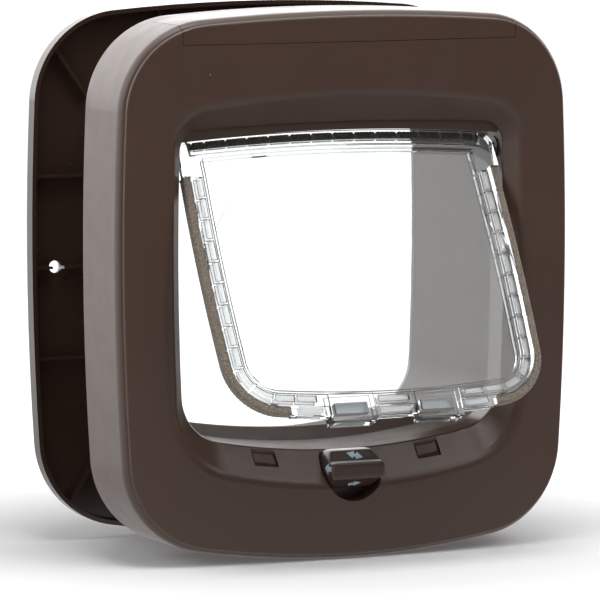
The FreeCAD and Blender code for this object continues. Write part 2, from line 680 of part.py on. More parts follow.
def make_outer_liner():
    """The outer tunnel: it slides over the sleeve to suit the door's thickness."""
    gap = size("sleeve_wall") + size("liner_gap")
    back = "door_space + outer_depth - outer_face"
    outer = duct_round("liner_outer", "sleeve_wall + liner_gap + liner_wall", gap + size("liner_wall"),
                       ("liner_start", back))
    hollow = duct_round("liner_hollow", "sleeve_wall + liner_gap", gap,
                        (f"liner_start - {PAST}", f"{back} + {PAST}"))
    return cut("tunnel_liner", outer, hollow)


OUTER = {"width": "outer_width"}


def make_outer_frame():
    """The outer frame: a shallow bowed dish, open to the door, with ribs and two screw bosses."""
    back = "door_space + outer_depth"
    shell = bowed_round("frame_solid", "0", 0, ("door_space", back), **OUTER)
    shell = rounded("frame_soft", shell, lambda edge: all(
        abs(p.y - size("door_space") - size("outer_depth")) < 1e-6 for p in edge.discretize(3)),
        size("outer_edge_round"))
    hollow = bowed_round("frame_hollow", "outer_wall", size("outer_wall"),
                         (f"door_space - {PAST}", f"{back} - outer_face"), **OUTER)
    shell = cut("frame_dish", shell, hollow)
    inner = bowed_round("frame_step", "outer_wall + outer_step_inset",
                        size("outer_wall") + size("outer_step_inset"),
                        (f"{back} - outer_face - outer_step", f"{back} - outer_face + {SUNK}"), **OUTER)
    bosses = [taper(f"{label}_boss", ("boss_top_radius", "boss_base_radius"), "Y",
                    (f"{back} - outer_face - boss_tall", f"{back} - outer_face + {SUNK}"),
                    x=f"{sign} * screw_side") for label, sign in (("left", "-1"), ("right", "1"))]
    bulk = joined("frame_bulk", shell, inner, frame_ribs(back), *bosses)
    tools = [duct_round("frame_mouth", "sleeve_wall + liner_gap", size("sleeve_wall") + size("liner_gap"),
                        (f"door_space - {PAST}", f"{back} + {PAST}"))]
    seat = size("sleeve_wall") + size("liner_gap") + size("liner_wall")
    tools.append(duct_round("liner_seat", "sleeve_wall + liner_gap + liner_wall", seat,
                            (f"door_space - {PAST}", f"{back} - outer_face")))
    for label, sign in (("left", "-1"), ("right", "1")):
        tools.append(rod(f"{label}_screw_hole", "screw_hole", "Y",
                         (f"door_space - {PAST}", f"{back} + {PAST}"), x=f"{sign} * screw_side"))
    return cut("outer_frame", bulk, *tools)


def frame_ribs(back):
    """The dish's ribs: three level ones a side, upright ones above and below, one at each corner."""
    ribs = []
    span = (f"{back} - outer_face - rib_tall", f"{back} - outer_face + {SUNK}")
    edge = "outer_width / 2 - outer_wall"
    for index, step in enumerate(("-1", "0", "1"), start=1):
        middle = f"{step} * rib_spacing"
        ribs.append(block(f"level_rib_{index}", (f"-({edge})", edge), span,
                          (f"{middle} - rib_thick / 2", f"{middle} + rib_thick / 2")))
        across = f"{step} * upright_spacing"
        ribs.append(block(f"upright_rib_{index}", (f"{across} - rib_thick / 2", f"{across} + rib_thick / 2"),
                          span, ("-case_low", "case_top")))
    slant = size("corner_rib_turn")
    for label, side, height, turn in (("top_right", "", "corner_rib_top", -slant),
                                      ("top_left", "-", "corner_rib_top", slant - 180),
                                      ("low_right", "", "-corner_rib_low", slant),
                                      ("low_left", "-", "-corner_rib_low", 180 - slant)):
        rib = block(f"{label}_rib", ("0", "corner_round"), span, ("-rib_thick / 2", "rib_thick / 2"))
        rib.Placement.Rotation = Rotation(Vector(0, 1, 0), turn)
        bind(rib, Placement_Base_x=f"{side}corner_rib_side", Placement_Base_z=height)
        ribs.append(rib)
    spread = joined("rib_cross", *ribs)
    limit = bowed_round("rib_limit", f"outer_wall - {SUNK}", size("outer_wall") - SUNK,
                        ("door_space", f"{back} - outer_face + {SUNK}"), **OUTER)
    return shared("rib_set", spread, limit)


# Flap

FLAP_PLANE = "-axis_depth"
FLAP_LOW = "axis_height - flap_below"
PAST_CROWN = f"axis_height + flap_above + {WELL_PAST}"


def swung(item):
    """Swing a piece of the flap from shut to where it stands open."""
    centre = Vector(0, -size("axis_depth"), size("axis_height"))
    item.Placement = Placement(Vector(), Rotation(Vector(1, 0, 0), -size("flap_angle")), centre)
    return item


def flap_outline(name, insets, thick, top=None):
    """The flap's outline drawn in by some sizes, its top by one of its own, shut, about the flap's plane."""
    inset = " + ".join(insets) or "0"
    y = across_flap(thick)
    across, waist = f"flap_side_round - ({inset})", "axis_height - flap_waist"
    sides = [
        rod(f"{name}_left", across, "Y", y, x="flap_side_round - flap_half", z=waist),
        rod(f"{name}_right", across, "Y", y, x="flap_half - flap_side_round", z=waist, seam_turn=180),
        rod(f"{name}_crown", f"flap_top_round - ({top or inset})", "Y", y,
            z="axis_height + flap_above - flap_top_round"),
        rod(f"{name}_sole", f"flap_low_round - ({inset})", "Y", y, z=f"{FLAP_LOW} + flap_low_round"),
    ]
    plate = shared(f"{name}_plate", sides[0], *sides[1:])
    drawn_in = sum(size(alias) for alias in insets)

    def radius(edge):
        upper = edge.CenterOfMass.z > size("axis_height")
        return max(size("flap_shoulder" if upper else "flap_corner") - drawn_in, size("least_round"))
    return rounded(name, plate, along(Vector(0, 1, 0)), radius)


def mirrored(sign, near, far):
    """Bounds along X of what lies between two distances from the middle, on one side."""
    return (f"-({far})", f"-({near})") if sign == "-1" else (near, far)


def across_flap(thick):
    """Bounds along Y of something as thick as this about the flap's plane."""
    return (f"{FLAP_PLANE} - ({thick}) / 2", f"{FLAP_PLANE} + ({thick}) / 2")


def make_flap_pane():
    """The clear flap: pane, rim, top rail with its groove, hinge cheeks, magnet blocks, pivot pins."""
    pane = flap_outline("pane_sheet", ["brush_width"], "pane_thick")
    rim = cut("rim", flap_outline("rim_solid", ["brush_width"], "rim_thick"),
              flap_outline("rim_hollow", ["brush_width", "rim_width"], f"rim_thick + {2 * PAST}",
                           top="rail_tall"))
    rail_low = "axis_height + flap_above - rail_tall"
    rail = shared("rail", flap_outline("rail_solid", [], "rim_thick"),
                  block("rail_band", ("-flap_half", "flap_half"), across_flap("rim_thick"),
                        (rail_low, PAST_CROWN)))
    pieces = [pane, rim, rail]
    tools = [block("brush_groove", ("-top_brush_half", "top_brush_half"), across_flap("top_brush_thick"),
                   ("axis_height + flap_above - top_brush_deep", PAST_CROWN))]
    pieces.append(shared("bottom_bar", flap_outline("bar_solid", [], "brush_thick"),
                         block("bar_band", ("-brush_end", "brush_end"), across_flap("brush_thick"),
                               (FLAP_LOW, f"{FLAP_LOW} + brush_width + rim_width / 2"))))
    inner, reach = "flap_half - rim_width - brush_width", "mouth_half + collar_wall - clearance"
    for label, sign in (("left", "-1"), ("right", "1")):
        pieces.append(shared(f"{label}_cheek", flap_outline(f"{label}_cheek_solid", [], "rim_thick"),
                             block(f"{label}_cheek_band", mirrored(sign, inner, "flap_half"),
                                   across_flap("rim_thick"),
                                   ("axis_height - brush_start", f"{rail_low} + {SUNK}"))))
        pieces.append(rod(f"{label}_pivot_pin", "pivot_radius", "X", mirrored(sign, inner, reach),
                          y=FLAP_PLANE, z="axis_height"))
        middle = f"{sign} * block_offset"
        pieces.append(block(f"{label}_block", (f"{middle} - block_wide / 2", f"{middle} + block_wide / 2"),
                            across_flap("block_thick"),
                            (f"{FLAP_LOW} - block_drop", f"{FLAP_LOW} - block_drop + block_tall")))
        tools.append(magnet_solid(f"{label}_pocket", sign, open_back="block_thick"))
    return swung(cut("flap_pane", joined("flap_solid", *pieces), *tools))


def magnet_solid(name, sign, open_back="magnet_thick"):
    """A magnet in its block, or the pocket that it goes in from the back."""
    middle, height = f"{sign} * block_offset", f"{FLAP_LOW} - block_drop + block_tall / 2"
    return block(name, (f"{middle} - magnet_wide / 2", f"{middle} + magnet_wide / 2"),
                 (f"{FLAP_PLANE} - magnet_thick / 2", f"{FLAP_PLANE} + {open_back} / 2"),
                 (f"{height} - magnet_tall / 2", f"{height} + magnet_tall / 2"))


def make_flap_magnets():
    """The two magnets in the flap's bottom edge."""
    magnets = []
    for label, sign in (("left", "-1"), ("right", "1")):
        magnet = doc.addObject("Part::Compound", f"{label}_flap_magnet")
        magnet.Links = [magnet_solid(f"{label}_magnet_bar", sign)]
        magnets.append(swung(magnet))
    return magnets


def make_brushes():
    """The pile strips: one down each side and round the corner, and one along the top."""
    strips = []
    for label, span in (("left", ("-flap_half", "-brush_end")), ("right", ("brush_end", "flap_half"))):
        ring = cut(f"{label}_pile_ring", flap_outline(f"{label}_pile_solid", [], "brush_thick"),
                   flap_outline(f"{label}_pile_hollow", ["brush_width"], f"brush_thick + {2 * PAST}"))
        limit = block(f"{label}_pile_limit", span, across_flap("brush_thick"),
                      (FLAP_LOW, "axis_height - brush_start"))
        strips.append(swung(shared(f"{label}_brush", ring, limit)))
    pile = block("top_pile", ("-top_brush_half", "top_brush_half"), across_flap("top_brush_thick"),
                 ("axis_height + flap_above - top_brush_deep", PAST_CROWN))
    crown = rod("top_pile_crown", "flap_top_round + top_pile", "Y",
                across_flap(f"top_brush_thick + {2 * PAST}"), z="axis_height + flap_above - flap_top_round")
    strips.append(swung(shared("top_brush", pile, crown)))
    return strips


def make_bush(name, sign):
    """A bush in the collar's wall for one of the flap's pivot pins."""
    near, far = f"{sign} * (mouth_half - bush_out)", f"{sign} * (mouth_half + collar_wall)"
    span = (near, far) if sign > 0 else (far, near)
    reach = f"mouth_half + collar_wall + {PAST}"
    body = rod(f"{name}_solid", "bush_radius", "X", span, y=FLAP_PLANE, z="axis_height")
    hole = rod(f"{name}_hole", "pivot_radius + running", "X", (f"-({reach})", reach),
               y=FLAP_PLANE, z="axis_height")
    return cut(name, body, hole)


# Dial and catches

def make_selector_dial():
    """The four-way dial: a grip bar with slopes round it, cut to a round, on a shaft."""
    front, rear = "-dial_front", "-cup_floor - clearance"
    bar = block("grip_bar", ("-cup_radius", "cup_radius"), (front, f"{front} + scoop_start"),
                ("-dial_drop - grip_tall / 2", "-dial_drop + grip_tall / 2"))
    slopes = doc.addObject("Part::Wedge", "dial_slopes")
    bind(slopes, Xmin="-cup_radius", Xmax="cup_radius", X2min="-cup_radius", X2max="cup_radius",
         Zmin="-grip_tall / 2", Zmax="grip_tall / 2", Z2min="-scoop_tall / 2", Z2max="scoop_tall / 2",
         Ymin=f"{front} + scoop_start", Ymax=f"{front} + scoop_deep", Placement_Base_z="-dial_drop")
    base = block("dial_base", ("-cup_radius", "cup_radius"), (f"{front} + scoop_deep", rear),
                 ("-dial_drop - scoop_tall / 2", "-dial_drop + scoop_tall / 2"))
    turned = rod("dial_round", "cup_radius - dial_gap", "Y", (front, rear), z="-dial_drop")
    knob = shared("dial_knob", joined("dial_bulk", bar, slopes, base), turned)
    shaft = rod("dial_shaft", "shaft_radius", "Y",
                (f"{rear} - {PAST}", "-cup_floor + cup_wall + clearance + cam_thick"), z="-dial_drop")
    return joined("selector_dial", knob, shaft)


def make_dial_cam():
    """The cam on the dial's shaft, behind its recess."""
    start = "-cup_floor + cup_wall + clearance"
    round_cam = rod("cam_round", "cam_radius", "Y", (start, f"{start} + cam_thick"), z="-dial_drop")
    flat = block("cam_flat", ("-cam_radius", "cam_radius"), (start, f"{start} + cam_thick"),
                 ("-dial_drop - cam_radius", "-dial_drop - shaft_radius - cam_wall"))
    bore = rod("cam_bore", "shaft_radius", "Y",
               (f"{start} - {PAST}", f"{start} + cam_thick + {PAST}"), z="-dial_drop")
    return cut("dial_cam", round_cam, flat, bore)


def make_catch(name, sign):
    """A catch: a blade cut off along the funnel's slope, on a stem with a foot."""
    middle = f"{sign} * catch_offset"
    blade = block(f"{name}_blade", (f"{middle} - catch_wide / 2", f"{middle} + catch_wide / 2"),
                  ("-catch_depth - catch_thick / 2", "-catch_depth + catch_thick / 2"),
                  ("-catch_low", "-mouth_low / 2"))
    slope = funnel(f"{name}_slope", size("catch_sunk"), size("lip_depth"),
                   size("case_depth") + FUNNEL_PAST)
    stem = rod(f"{name}_stem", "stem_radius", "Z", ("-catch_low - stem_length", f"-catch_low + {PAST}"),
               x=middle, y="-catch_depth")
    foot = rod(f"{name}_foot", "foot_radius", "Z",
               ("-catch_low - stem_length", "-catch_low - stem_length + foot_thick"),
               x=middle, y="-catch_depth")
    return joined(f"{name}_catch", cut(f"{name}_tip", blade, slope), stem, foot)


def make_catch_spring(name, sign):
    """The spring round a catch's stem, between the shelf and the foot."""
    top = -size("catch_low") - size("shelf_thick") - size("spring_wire") / 2
    low = -size("catch_low") - size("stem_length") + size("foot_thick") + size("spring_wire") / 2
    height = top - low
    line = Part.makeHelix(height / size("spring_turns"), height, size("spring_radius"))
    start = Vector(size("spring_radius"), 0, 0)
    section = Part.Wire(Part.makeCircle(size("spring_wire") / 2, start, Vector(0, 1, 0)))
    coil = Part.Wire(line).makePipeShell([section], True, True)
    spring = formed(f"{name}_catch_spring", coil)
    spring.Placement = Placement(Vector(sign * size("catch_offset"), -size("catch_depth"), low), Rotation())
    return spring


def make_catch_shelf():
    """The shelf that the catches stand on, notched round the dial's recess."""
    shelf = block("shelf_solid", ("-shelf_half", "shelf_half"), ("-shelf_front", "-case_wall"),
                  ("-catch_low - shelf_thick", "-catch_low"))
    tools = [rod("shelf_notch", "cup_radius + cup_wall + clearance", "Y",
                 (f"-shelf_front - {PAST}", "-cup_floor + cup_wall + clearance"), z="-dial_drop")]
    for label, sign in (("left", "-1"), ("right", "1")):
        tools.append(rod(f"{label}_stem_hole", "stem_radius + clearance", "Z",
                         (f"-catch_low - shelf_thick - {PAST}", f"-catch_low + {PAST}"),
                         x=f"{sign} * catch_offset", y="-catch_depth"))
    return cut("catch_shelf", shelf, *tools)


def make_latch_motor():
    """The small motor that frees a catch, lying on the shelf."""
    span = ("motor_offset - motor_length / 2", "motor_offset + motor_length / 2")
    body = rod("motor_can", "motor_radius", "X", span, y="-motor_depth", z="-catch_low + motor_radius")
    shaft = rod("motor_shaft", "motor_shaft_radius", "X", (f"{span[0]} - motor_shaft_length", span[0]),
                y="-motor_depth", z="-catch_low + motor_radius")
    return joined("latch_motor", body, shaft)


def make_sill_magnets():
    """The two magnets under the sill that draw the flap shut."""
    magnets = []
    for label, sign in (("left", "-1"), ("right", "1")):
        middle = f"{sign} * block_offset"
        magnets.append(block(f"{label}_sill_magnet",
                             (f"{middle} - magnet_wide / 2", f"{middle} + magnet_wide / 2"),
                             ("-axis_depth - magnet_tall / 2", "-axis_depth + magnet_tall / 2"),
                             ("-mouth_low - collar_wall - magnet_thick", "-mouth_low - collar_wall")))
    return magnets


# Batteries and electronics

CELL_RUN = "(cell_length + cell_tip)"
TRAY_FLOOR = "cell_height - cell_radius"


def make_battery_cells():
    """Four cells: two rows of two, all facing the same way."""
    cells_made = []
    places = [(start, row) for row in (-1, 1) for start in (f"-{CELL_RUN}", "0")]
    for index, (start, row) in enumerate(places, start=1):
        y = f"-cell_depth + {row} * cell_pitch / 2"
        can = rod(f"can_{index}", "cell_radius", "X", (start, f"{start} + cell_length"), y=y, z="cell_height")
        tip = rod(f"tip_{index}", "cell_tip_radius", "X",
                  (f"{start} + cell_length", f"{start} + {CELL_RUN}"), y=y, z="cell_height")
        cells_made.append(joined(f"battery_cell_{index}", can, tip))
    return cells_made


def make_contact(name, sign):
    """A battery contact: a plate across both rows with a spring for each."""
    inner = f"({CELL_RUN} + contact_spring)"
    span = (inner, f"{inner} + contact_thick") if sign > 0 else (f"-{inner} - contact_thick", f"-{inner}")
    plate = block(f"{name}_plate", span,
                  ("-cell_depth - cell_pitch + contact_inset", "-cell_depth + cell_pitch - contact_inset"),
                  (TRAY_FLOOR, "cell_height + cell_radius - contact_drop"))
    tip, foot = "cell_tip_radius", "cell_tip_radius + contact_spread"
    springs = []
    for row in (-1, 1):
        radii = (tip, foot) if sign > 0 else (foot, tip)
        reach = (CELL_RUN, inner) if sign > 0 else (f"-{inner}", f"-{CELL_RUN}")
        springs.append(taper(f"{name}_spring_{row + 1}", radii, "X", reach,
                             y=f"-cell_depth + {row} * cell_pitch / 2", z="cell_height"))
    return joined(name, plate, *springs)


def make_battery_tray():
    """The tray under the cells: floor, four walls and feet that hold the circuit board."""
    inner_x = f"({CELL_RUN} + contact_spring + contact_thick)"
    inner_y = "(cell_pitch / 2 + cell_radius + clearance)"
    top = f"{TRAY_FLOOR} + tray_tall"
    floor = block("tray_floor", ("-tray_half", "tray_half"),
                  ("-cell_depth - cell_pitch - clearance", "-case_wall"),
                  (f"{TRAY_FLOOR} - tray_wall", TRAY_FLOOR))
    walls = block("tray_walls", (f"-{inner_x} - tray_wall", f"{inner_x} + tray_wall"),
                  (f"-cell_depth - {inner_y} - tray_wall", f"-cell_depth + {inner_y} + tray_wall"),
                  (f"{TRAY_FLOOR} - tray_wall", top))
    hollow = block("tray_hollow", (f"-{inner_x}", inner_x),
                   (f"-cell_depth - {inner_y}", f"-cell_depth + {inner_y}"), (TRAY_FLOOR, f"{top} + {PAST}"))
    rear = ("board_half - board_foot_inset", "-board_rear - board_foot_inset")
    front = ("board_foot_near", "-board_front + board_foot_inset")
    places = [(f"{sign} * ({x})", y) for x, y in (rear, front) for sign in (-1, 1)]
    feet = [rod(f"board_foot_{index}", "board_foot_radius", "Z",
                ("board_top", f"{TRAY_FLOOR} - tray_wall / 2"), x=x, y=y)
            for index, (x, y) in enumerate(places, start=1)]
    hole = rod("button_hole", "button_radius + clearance", "Z", ("board_top", f"{TRAY_FLOOR} + {PAST}"),
               x="button_offset", y="-button_depth")
    return cut("battery_tray", joined("tray_solid", floor, walls, *feet), hollow, hole)


def make_circuit_board():
    """The circuit board with the learn button's switch, a chip and the status light on it."""
    board = block("board_plate", ("-board_half", "board_half"), ("-board_front", "-board_rear"),
                  ("board_top - board_thick", "board_top"))
    switch = block("button_switch", ("button_offset - switch_side / 2", "button_offset + switch_side / 2"),
                   ("-button_depth - switch_side / 2", "-button_depth + switch_side / 2"),
                   ("board_top", "board_top + switch_tall"))
    lamp = block("board_lamp", ("-lamp_offset - lamp_block_wide / 2", "-lamp_offset + lamp_block_wide / 2"),
                 ("-board_front", "-board_front + lamp_block_deep"),
                 ("board_top", "lamp_height + lamp_radius"))
    chip = block("board_chip", ("-chip_wide / 2", "chip_wide / 2"),
                 ("-board_rear - chip_back - chip_deep", "-board_rear - chip_back"),
                 ("board_top", "board_top + chip_tall"))
    return joined("circuit_board", board, switch, lamp, chip)


def make_light_pipe():
    """The light pipe from the board's light to the hole in the bezel."""
    front = "face_round - case_depth - sqrt(face_round ^ 2 - lamp_offset ^ 2)"
    return rod("light_pipe", "lamp_radius", "Y", (f"{front} + clearance", "-board_front"), x="-lamp_offset",
               z="lamp_height")


def make_learn_button():
    """The button under the battery cover: a cap with a flange that keeps it under the tray's floor."""
    low = "board_top + switch_tall + button_travel + clearance"
    cap = rod("button_cap", "button_radius", "Z", (low, f"{low} + button_tall"), x="button_offset",
              y="-button_depth")
    flange = rod("button_rim", "button_radius + button_flange", "Z", (low, f"{low} + button_flange_thick"),
                 x="button_offset", y="-button_depth")
    return joined("learn_button", cap, flange)


def make_aerial_coil():
    """The aerial coil wound round the tunnel sleeve."""
    span = ("-coil_front", "-coil_front + coil_deep")
    outer = duct_round("coil_outer", "sleeve_wall + coil_thick",
                       size("sleeve_wall") + size("coil_thick"), span)
    hollow = duct_round("coil_hollow", "sleeve_wall", size("sleeve_wall"),
                        (f"-coil_front - {PAST}", f"-coil_front + coil_deep + {PAST}"))
    return cut("aerial_coil", outer, hollow)


def make_all():
    """Every sub-part, in the order in which they would come apart."""
    side, face = case_shells()
    parts = [make_front_bezel(face), make_side_housing(side), make_battery_cover(side, face),
             make_rear_housing(), make_case_screws(), make_tunnel_sleeve(), make_outer_liner(),
             make_outer_frame(), make_flap_pane(), *make_flap_magnets(), *make_brushes(),
             make_bush("left_pivot_bush", -1), make_bush("right_pivot_bush", 1), make_selector_dial(),
             make_dial_cam()]
    for label, sign in (("left", -1), ("right", 1)):
        parts += [make_catch(label, sign), make_catch_spring(label, sign)]
    parts += [make_catch_shelf(), make_latch_motor(), *make_sill_magnets(), *make_battery_cells(),
              make_contact("left_contact", -1), make_contact("right_contact", 1), make_battery_tray(),
              make_circuit_board(), make_light_pipe(), make_learn_button(), make_aerial_coil()]
    return parts


def check(parts):
    """Stop on a failed object or an unsound shape."""
    for item in doc.Objects:
        if {"Invalid", "Error"} & set(item.State):
            raise RuntimeError(f"{item.Name} failed: {item.getStatusString()}")
    for item in parts:
        if item.Shape.isNull() or not item.Shape.isValid() or not item.Shape.Solids:
            raise RuntimeError(f"{item.Label} has no sound shape")


parts = make_all()
doc.recompute()
check(parts)
os.makedirs("parts", exist_ok=True)
for item in parts:
    item.Shape.exportStep(f"parts/{item.Label}.step")
    box = item.Shape.BoundBox
    print(f"{item.Label}: solids {len(item.Shape.Solids)}, volume {item.Shape.Volume:.0f}, "
          f"box {box.XMin:.1f}..{box.XMax:.1f} {box.YMin:.1f}..{box.YMax:.1f} {box.ZMin:.1f}..{box.ZMax:.1f}")
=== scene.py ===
"""Looks of a cat flap for a door: satin brown mouldings, a clear flap with pile strips, and its studio.

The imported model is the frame, and every piece made here sits where that frame says.
Lengths are metres. X runs to the right seen from the room, -Y points into the room, +Z is up.
"""
from __future__ import annotations

import json
import logging
import math
from dataclasses import dataclass, field
from enum import Enum

import bpy
from mathutils import Matrix, Vector


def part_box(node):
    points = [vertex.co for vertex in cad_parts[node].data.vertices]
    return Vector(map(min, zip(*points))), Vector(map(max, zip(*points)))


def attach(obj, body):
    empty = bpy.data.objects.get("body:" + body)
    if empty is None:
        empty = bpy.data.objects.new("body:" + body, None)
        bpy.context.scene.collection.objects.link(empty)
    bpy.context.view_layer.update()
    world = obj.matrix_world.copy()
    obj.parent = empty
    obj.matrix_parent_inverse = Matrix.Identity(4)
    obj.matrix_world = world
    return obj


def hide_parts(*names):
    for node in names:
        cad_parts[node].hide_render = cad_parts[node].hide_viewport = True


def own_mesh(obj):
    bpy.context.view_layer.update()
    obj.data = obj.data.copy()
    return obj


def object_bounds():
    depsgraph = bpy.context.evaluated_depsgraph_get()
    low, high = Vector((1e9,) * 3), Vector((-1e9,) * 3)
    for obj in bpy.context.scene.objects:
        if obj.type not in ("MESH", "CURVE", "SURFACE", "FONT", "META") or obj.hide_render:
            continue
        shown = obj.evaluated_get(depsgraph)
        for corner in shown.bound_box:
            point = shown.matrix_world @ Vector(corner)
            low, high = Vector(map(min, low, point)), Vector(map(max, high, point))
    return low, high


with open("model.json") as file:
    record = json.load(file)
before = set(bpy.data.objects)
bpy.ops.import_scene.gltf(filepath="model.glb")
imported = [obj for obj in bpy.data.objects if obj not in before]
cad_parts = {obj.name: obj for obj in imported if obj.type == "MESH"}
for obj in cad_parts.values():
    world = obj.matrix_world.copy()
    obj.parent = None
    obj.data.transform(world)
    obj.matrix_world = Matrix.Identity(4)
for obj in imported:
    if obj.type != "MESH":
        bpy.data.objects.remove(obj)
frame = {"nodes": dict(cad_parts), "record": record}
cad_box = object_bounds()

LOG = logging.getLogger("cat_flap")
MM = 0.001


def shade(red: float, green: float, blue: float) -> tuple[float, float, float, float]:
    """Turn a colour as it is seen on a screen into linear light.

    Args:
        red: Red from 0 to 255.
        green: Green from 0 to 255.
        blue: Blue from 0 to 255.

    Returns:
        The colour in linear light, opaque.
    """
    def linear(value: float) -> float:
        """One channel in linear light."""
        share = value / 255
        return share / 12.92 if share <= 0.04045 else ((share + 0.055) / 1.055) ** 2.4
    return (linear(red), linear(green), linear(blue), 1.0)


class Slot(Enum):
    """The record's material slots, passed along with the new pieces."""

    BROWN = "brown_plastic"
    CLEAR = "clear_plastic"
    PILE = "pile"
    STEEL = "steel"


class Body(Enum):
    """The bodies that the new pieces ride on."""

    CASE = "case"
    FLAP = "flap"
    DIAL = "dial"
    LEFT_CATCH = "left_catch"
    RIGHT_CATCH = "right_catch"


# Node groups

class ShaderGroup:
    """A shader node group with named inputs and outputs, filled in by its maker."""

    def __init__(self, name: str, inputs: dict[str, float], outputs: list[str]) -> None:
        """Make an empty group.

        Args:
            name: The group's name.
            inputs: Each number that the group takes, with its first value.
            outputs: Each number that the group gives.
        """
        self.tree = bpy.data.node_groups.new(name, "ShaderNodeTree")
        for label, value in inputs.items():
            socket = self.tree.interface.new_socket(label, in_out="INPUT", socket_type="NodeSocketFloat")
            socket.default_value = value
        for label in outputs:
            self.tree.interface.new_socket(label, in_out="OUTPUT", socket_type="NodeSocketFloat")
        self.start = self.tree.nodes.new("NodeGroupInput")
        self.end = self.tree.nodes.new("NodeGroupOutput")

    def node(self, kind: str, **settings: object) -> bpy.types.Node:
        """Add a node.

        Args:
            kind: The node's type.
            settings: Properties to set on it.

        Returns:
            The new node.
        """
        item = self.tree.nodes.new(kind)
        for label, value in settings.items():
            setattr(item, label, value)
        return item

    def link(self, source: bpy.types.NodeSocket, target: bpy.types.NodeSocket) -> None:
        """Join two sockets."""
        self.tree.links.new(source, target)

    def noise(self, scale: float | bpy.types.NodeSocket, detail: float = 3.0) -> bpy.types.NodeSocket:
        """Add noise over the object's own coordinates.

        Args:
            scale: Waves to the metre, or the socket that gives them.
            detail: Octaves of the noise.

        Returns:
            The noise's value.
        """
        place = self.node("ShaderNodeTexCoord")
        item = self.node("ShaderNodeTexNoise")
        item.inputs["Detail"].default_value = detail
        if isinstance(scale, (int, float)):
            item.inputs["Scale"].default_value = scale
        else:
            self.link(scale, item.inputs["Scale"])
        self.link(place.outputs["Object"], item.inputs["Vector"])
        return item.outputs["Fac"]

    def spread(self, source: bpy.types.NodeSocket, low: object, high: object) -> bpy.types.NodeSocket:
        """Stretch the middle of a noise over a range.

        Args:
            source: The noise.
            low: Value or socket of the range's start.
            high: Value or socket of the range's end.

        Returns:
            The stretched value.
        """
        item = self.node("ShaderNodeMapRange")
        item.inputs["From Min"].default_value = 0.3
        item.inputs["From Max"].default_value = 0.7
        self.link(source, item.inputs["Value"])
        for label, bound in (("To Min", low), ("To Max", high)):
            if isinstance(bound, (int, float)):
                item.inputs[label].default_value = bound
            else:
                self.link(bound, item.inputs[label])
        return item.outputs["Result"]


def moulded_group() -> bpy.types.ShaderNodeTree:
    """The fine spark grain, soft mottling and uneven sheen of moulded plastic."""
    inputs = {"Grain Scale": 2400, "Least Roughness": 0.3, "Most Roughness": 0.4}
    group = ShaderGroup("moulded_surface", inputs, ["Height", "Tone", "Roughness"])
    group.link(group.noise(group.start.outputs["Grain Scale"], 2.0), group.end.inputs["Height"])
    group.link(group.spread(group.noise(14.0, 4.0), 0.0, 1.0), group.end.inputs["Tone"])
    sheen = group.spread(group.noise(90.0, 5.0), group.start.outputs["Least Roughness"],
                         group.start.outputs["Most Roughness"])
    group.link(sheen, group.end.inputs["Roughness"])
    return group.tree


def fibre_group() -> bpy.types.ShaderNodeTree:
    """The flecks and tufts of a short pile."""
    group = ShaderGroup("pile_fibres", {"Fibre Scale": 1500}, ["Height", "Fleck"])
    fine = group.noise(group.start.outputs["Fibre Scale"], 3.0)
    place = group.node("ShaderNodeTexCoord")
    cells = group.node("ShaderNodeTexVoronoi")
    group.link(place.outputs["Object"], cells.inputs["Vector"])
    group.link(group.start.outputs["Fibre Scale"], cells.inputs["Scale"])
    total = group.node("ShaderNodeMath", operation="ADD")
    group.link(fine, total.inputs[0])
    group.link(cells.outputs["Distance"], total.inputs[1])
    group.link(total.outputs["Value"], group.end.inputs["Height"])
    group.link(group.spread(fine, 0.0, 1.0), group.end.inputs["Fleck"])
    return group.tree


# Finishes

def blank_material(name: str) -> tuple[bpy.types.Material, bpy.types.Node]:
    """Make a material that holds only its shader.

    Args:
        name: The material's name.

    Returns:
        The material and its Principled node.
    """
    material = bpy.data.materials.new(name)
    material.use_nodes = True
    return material, material.node_tree.nodes["Principled BSDF"]


def use_group(material: bpy.types.Material, tree: bpy.types.ShaderNodeTree,
              **values: float) -> bpy.types.Node:
    """Place a node group in a material.

    Args:
        material: The material.
        tree: The group.
        values: The group's own values here; _ in a name stands for a space.

    Returns:
        The group's node.
    """
    item = material.node_tree.nodes.new("ShaderNodeGroup")
    item.node_tree = tree
    for label, value in values.items():
        item.inputs[label.replace("_", " ")].default_value = value
    return item


def two_tones(material: bpy.types.Material, mask: bpy.types.NodeSocket, first: tuple,
              second: tuple) -> None:
    """Colour a material between two colours by a mask."""
    links, nodes = material.node_tree.links, material.node_tree.nodes
    mix = nodes.new("ShaderNodeMix")
    mix.data_type = "RGBA"
    mix.inputs[6].default_value = first
    mix.inputs[7].default_value = second
    links.new(mask, mix.inputs[0])
    links.new(mix.outputs[2], nodes["Principled BSDF"].inputs["Base Color"])


def bumped(material: bpy.types.Material, height: bpy.types.NodeSocket, depth: float) -> None:
    """Give a material a bump of a real depth in metres."""
    links, nodes = material.node_tree.links, material.node_tree.nodes
    bump = nodes.new("ShaderNodeBump")
    bump.inputs["Strength"].default_value = 1.0
    bump.inputs["Distance"].default_value = depth
    links.new(height, bump.inputs["Height"])
    links.new(bump.outputs["Normal"], nodes["Principled BSDF"].inputs["Normal"])


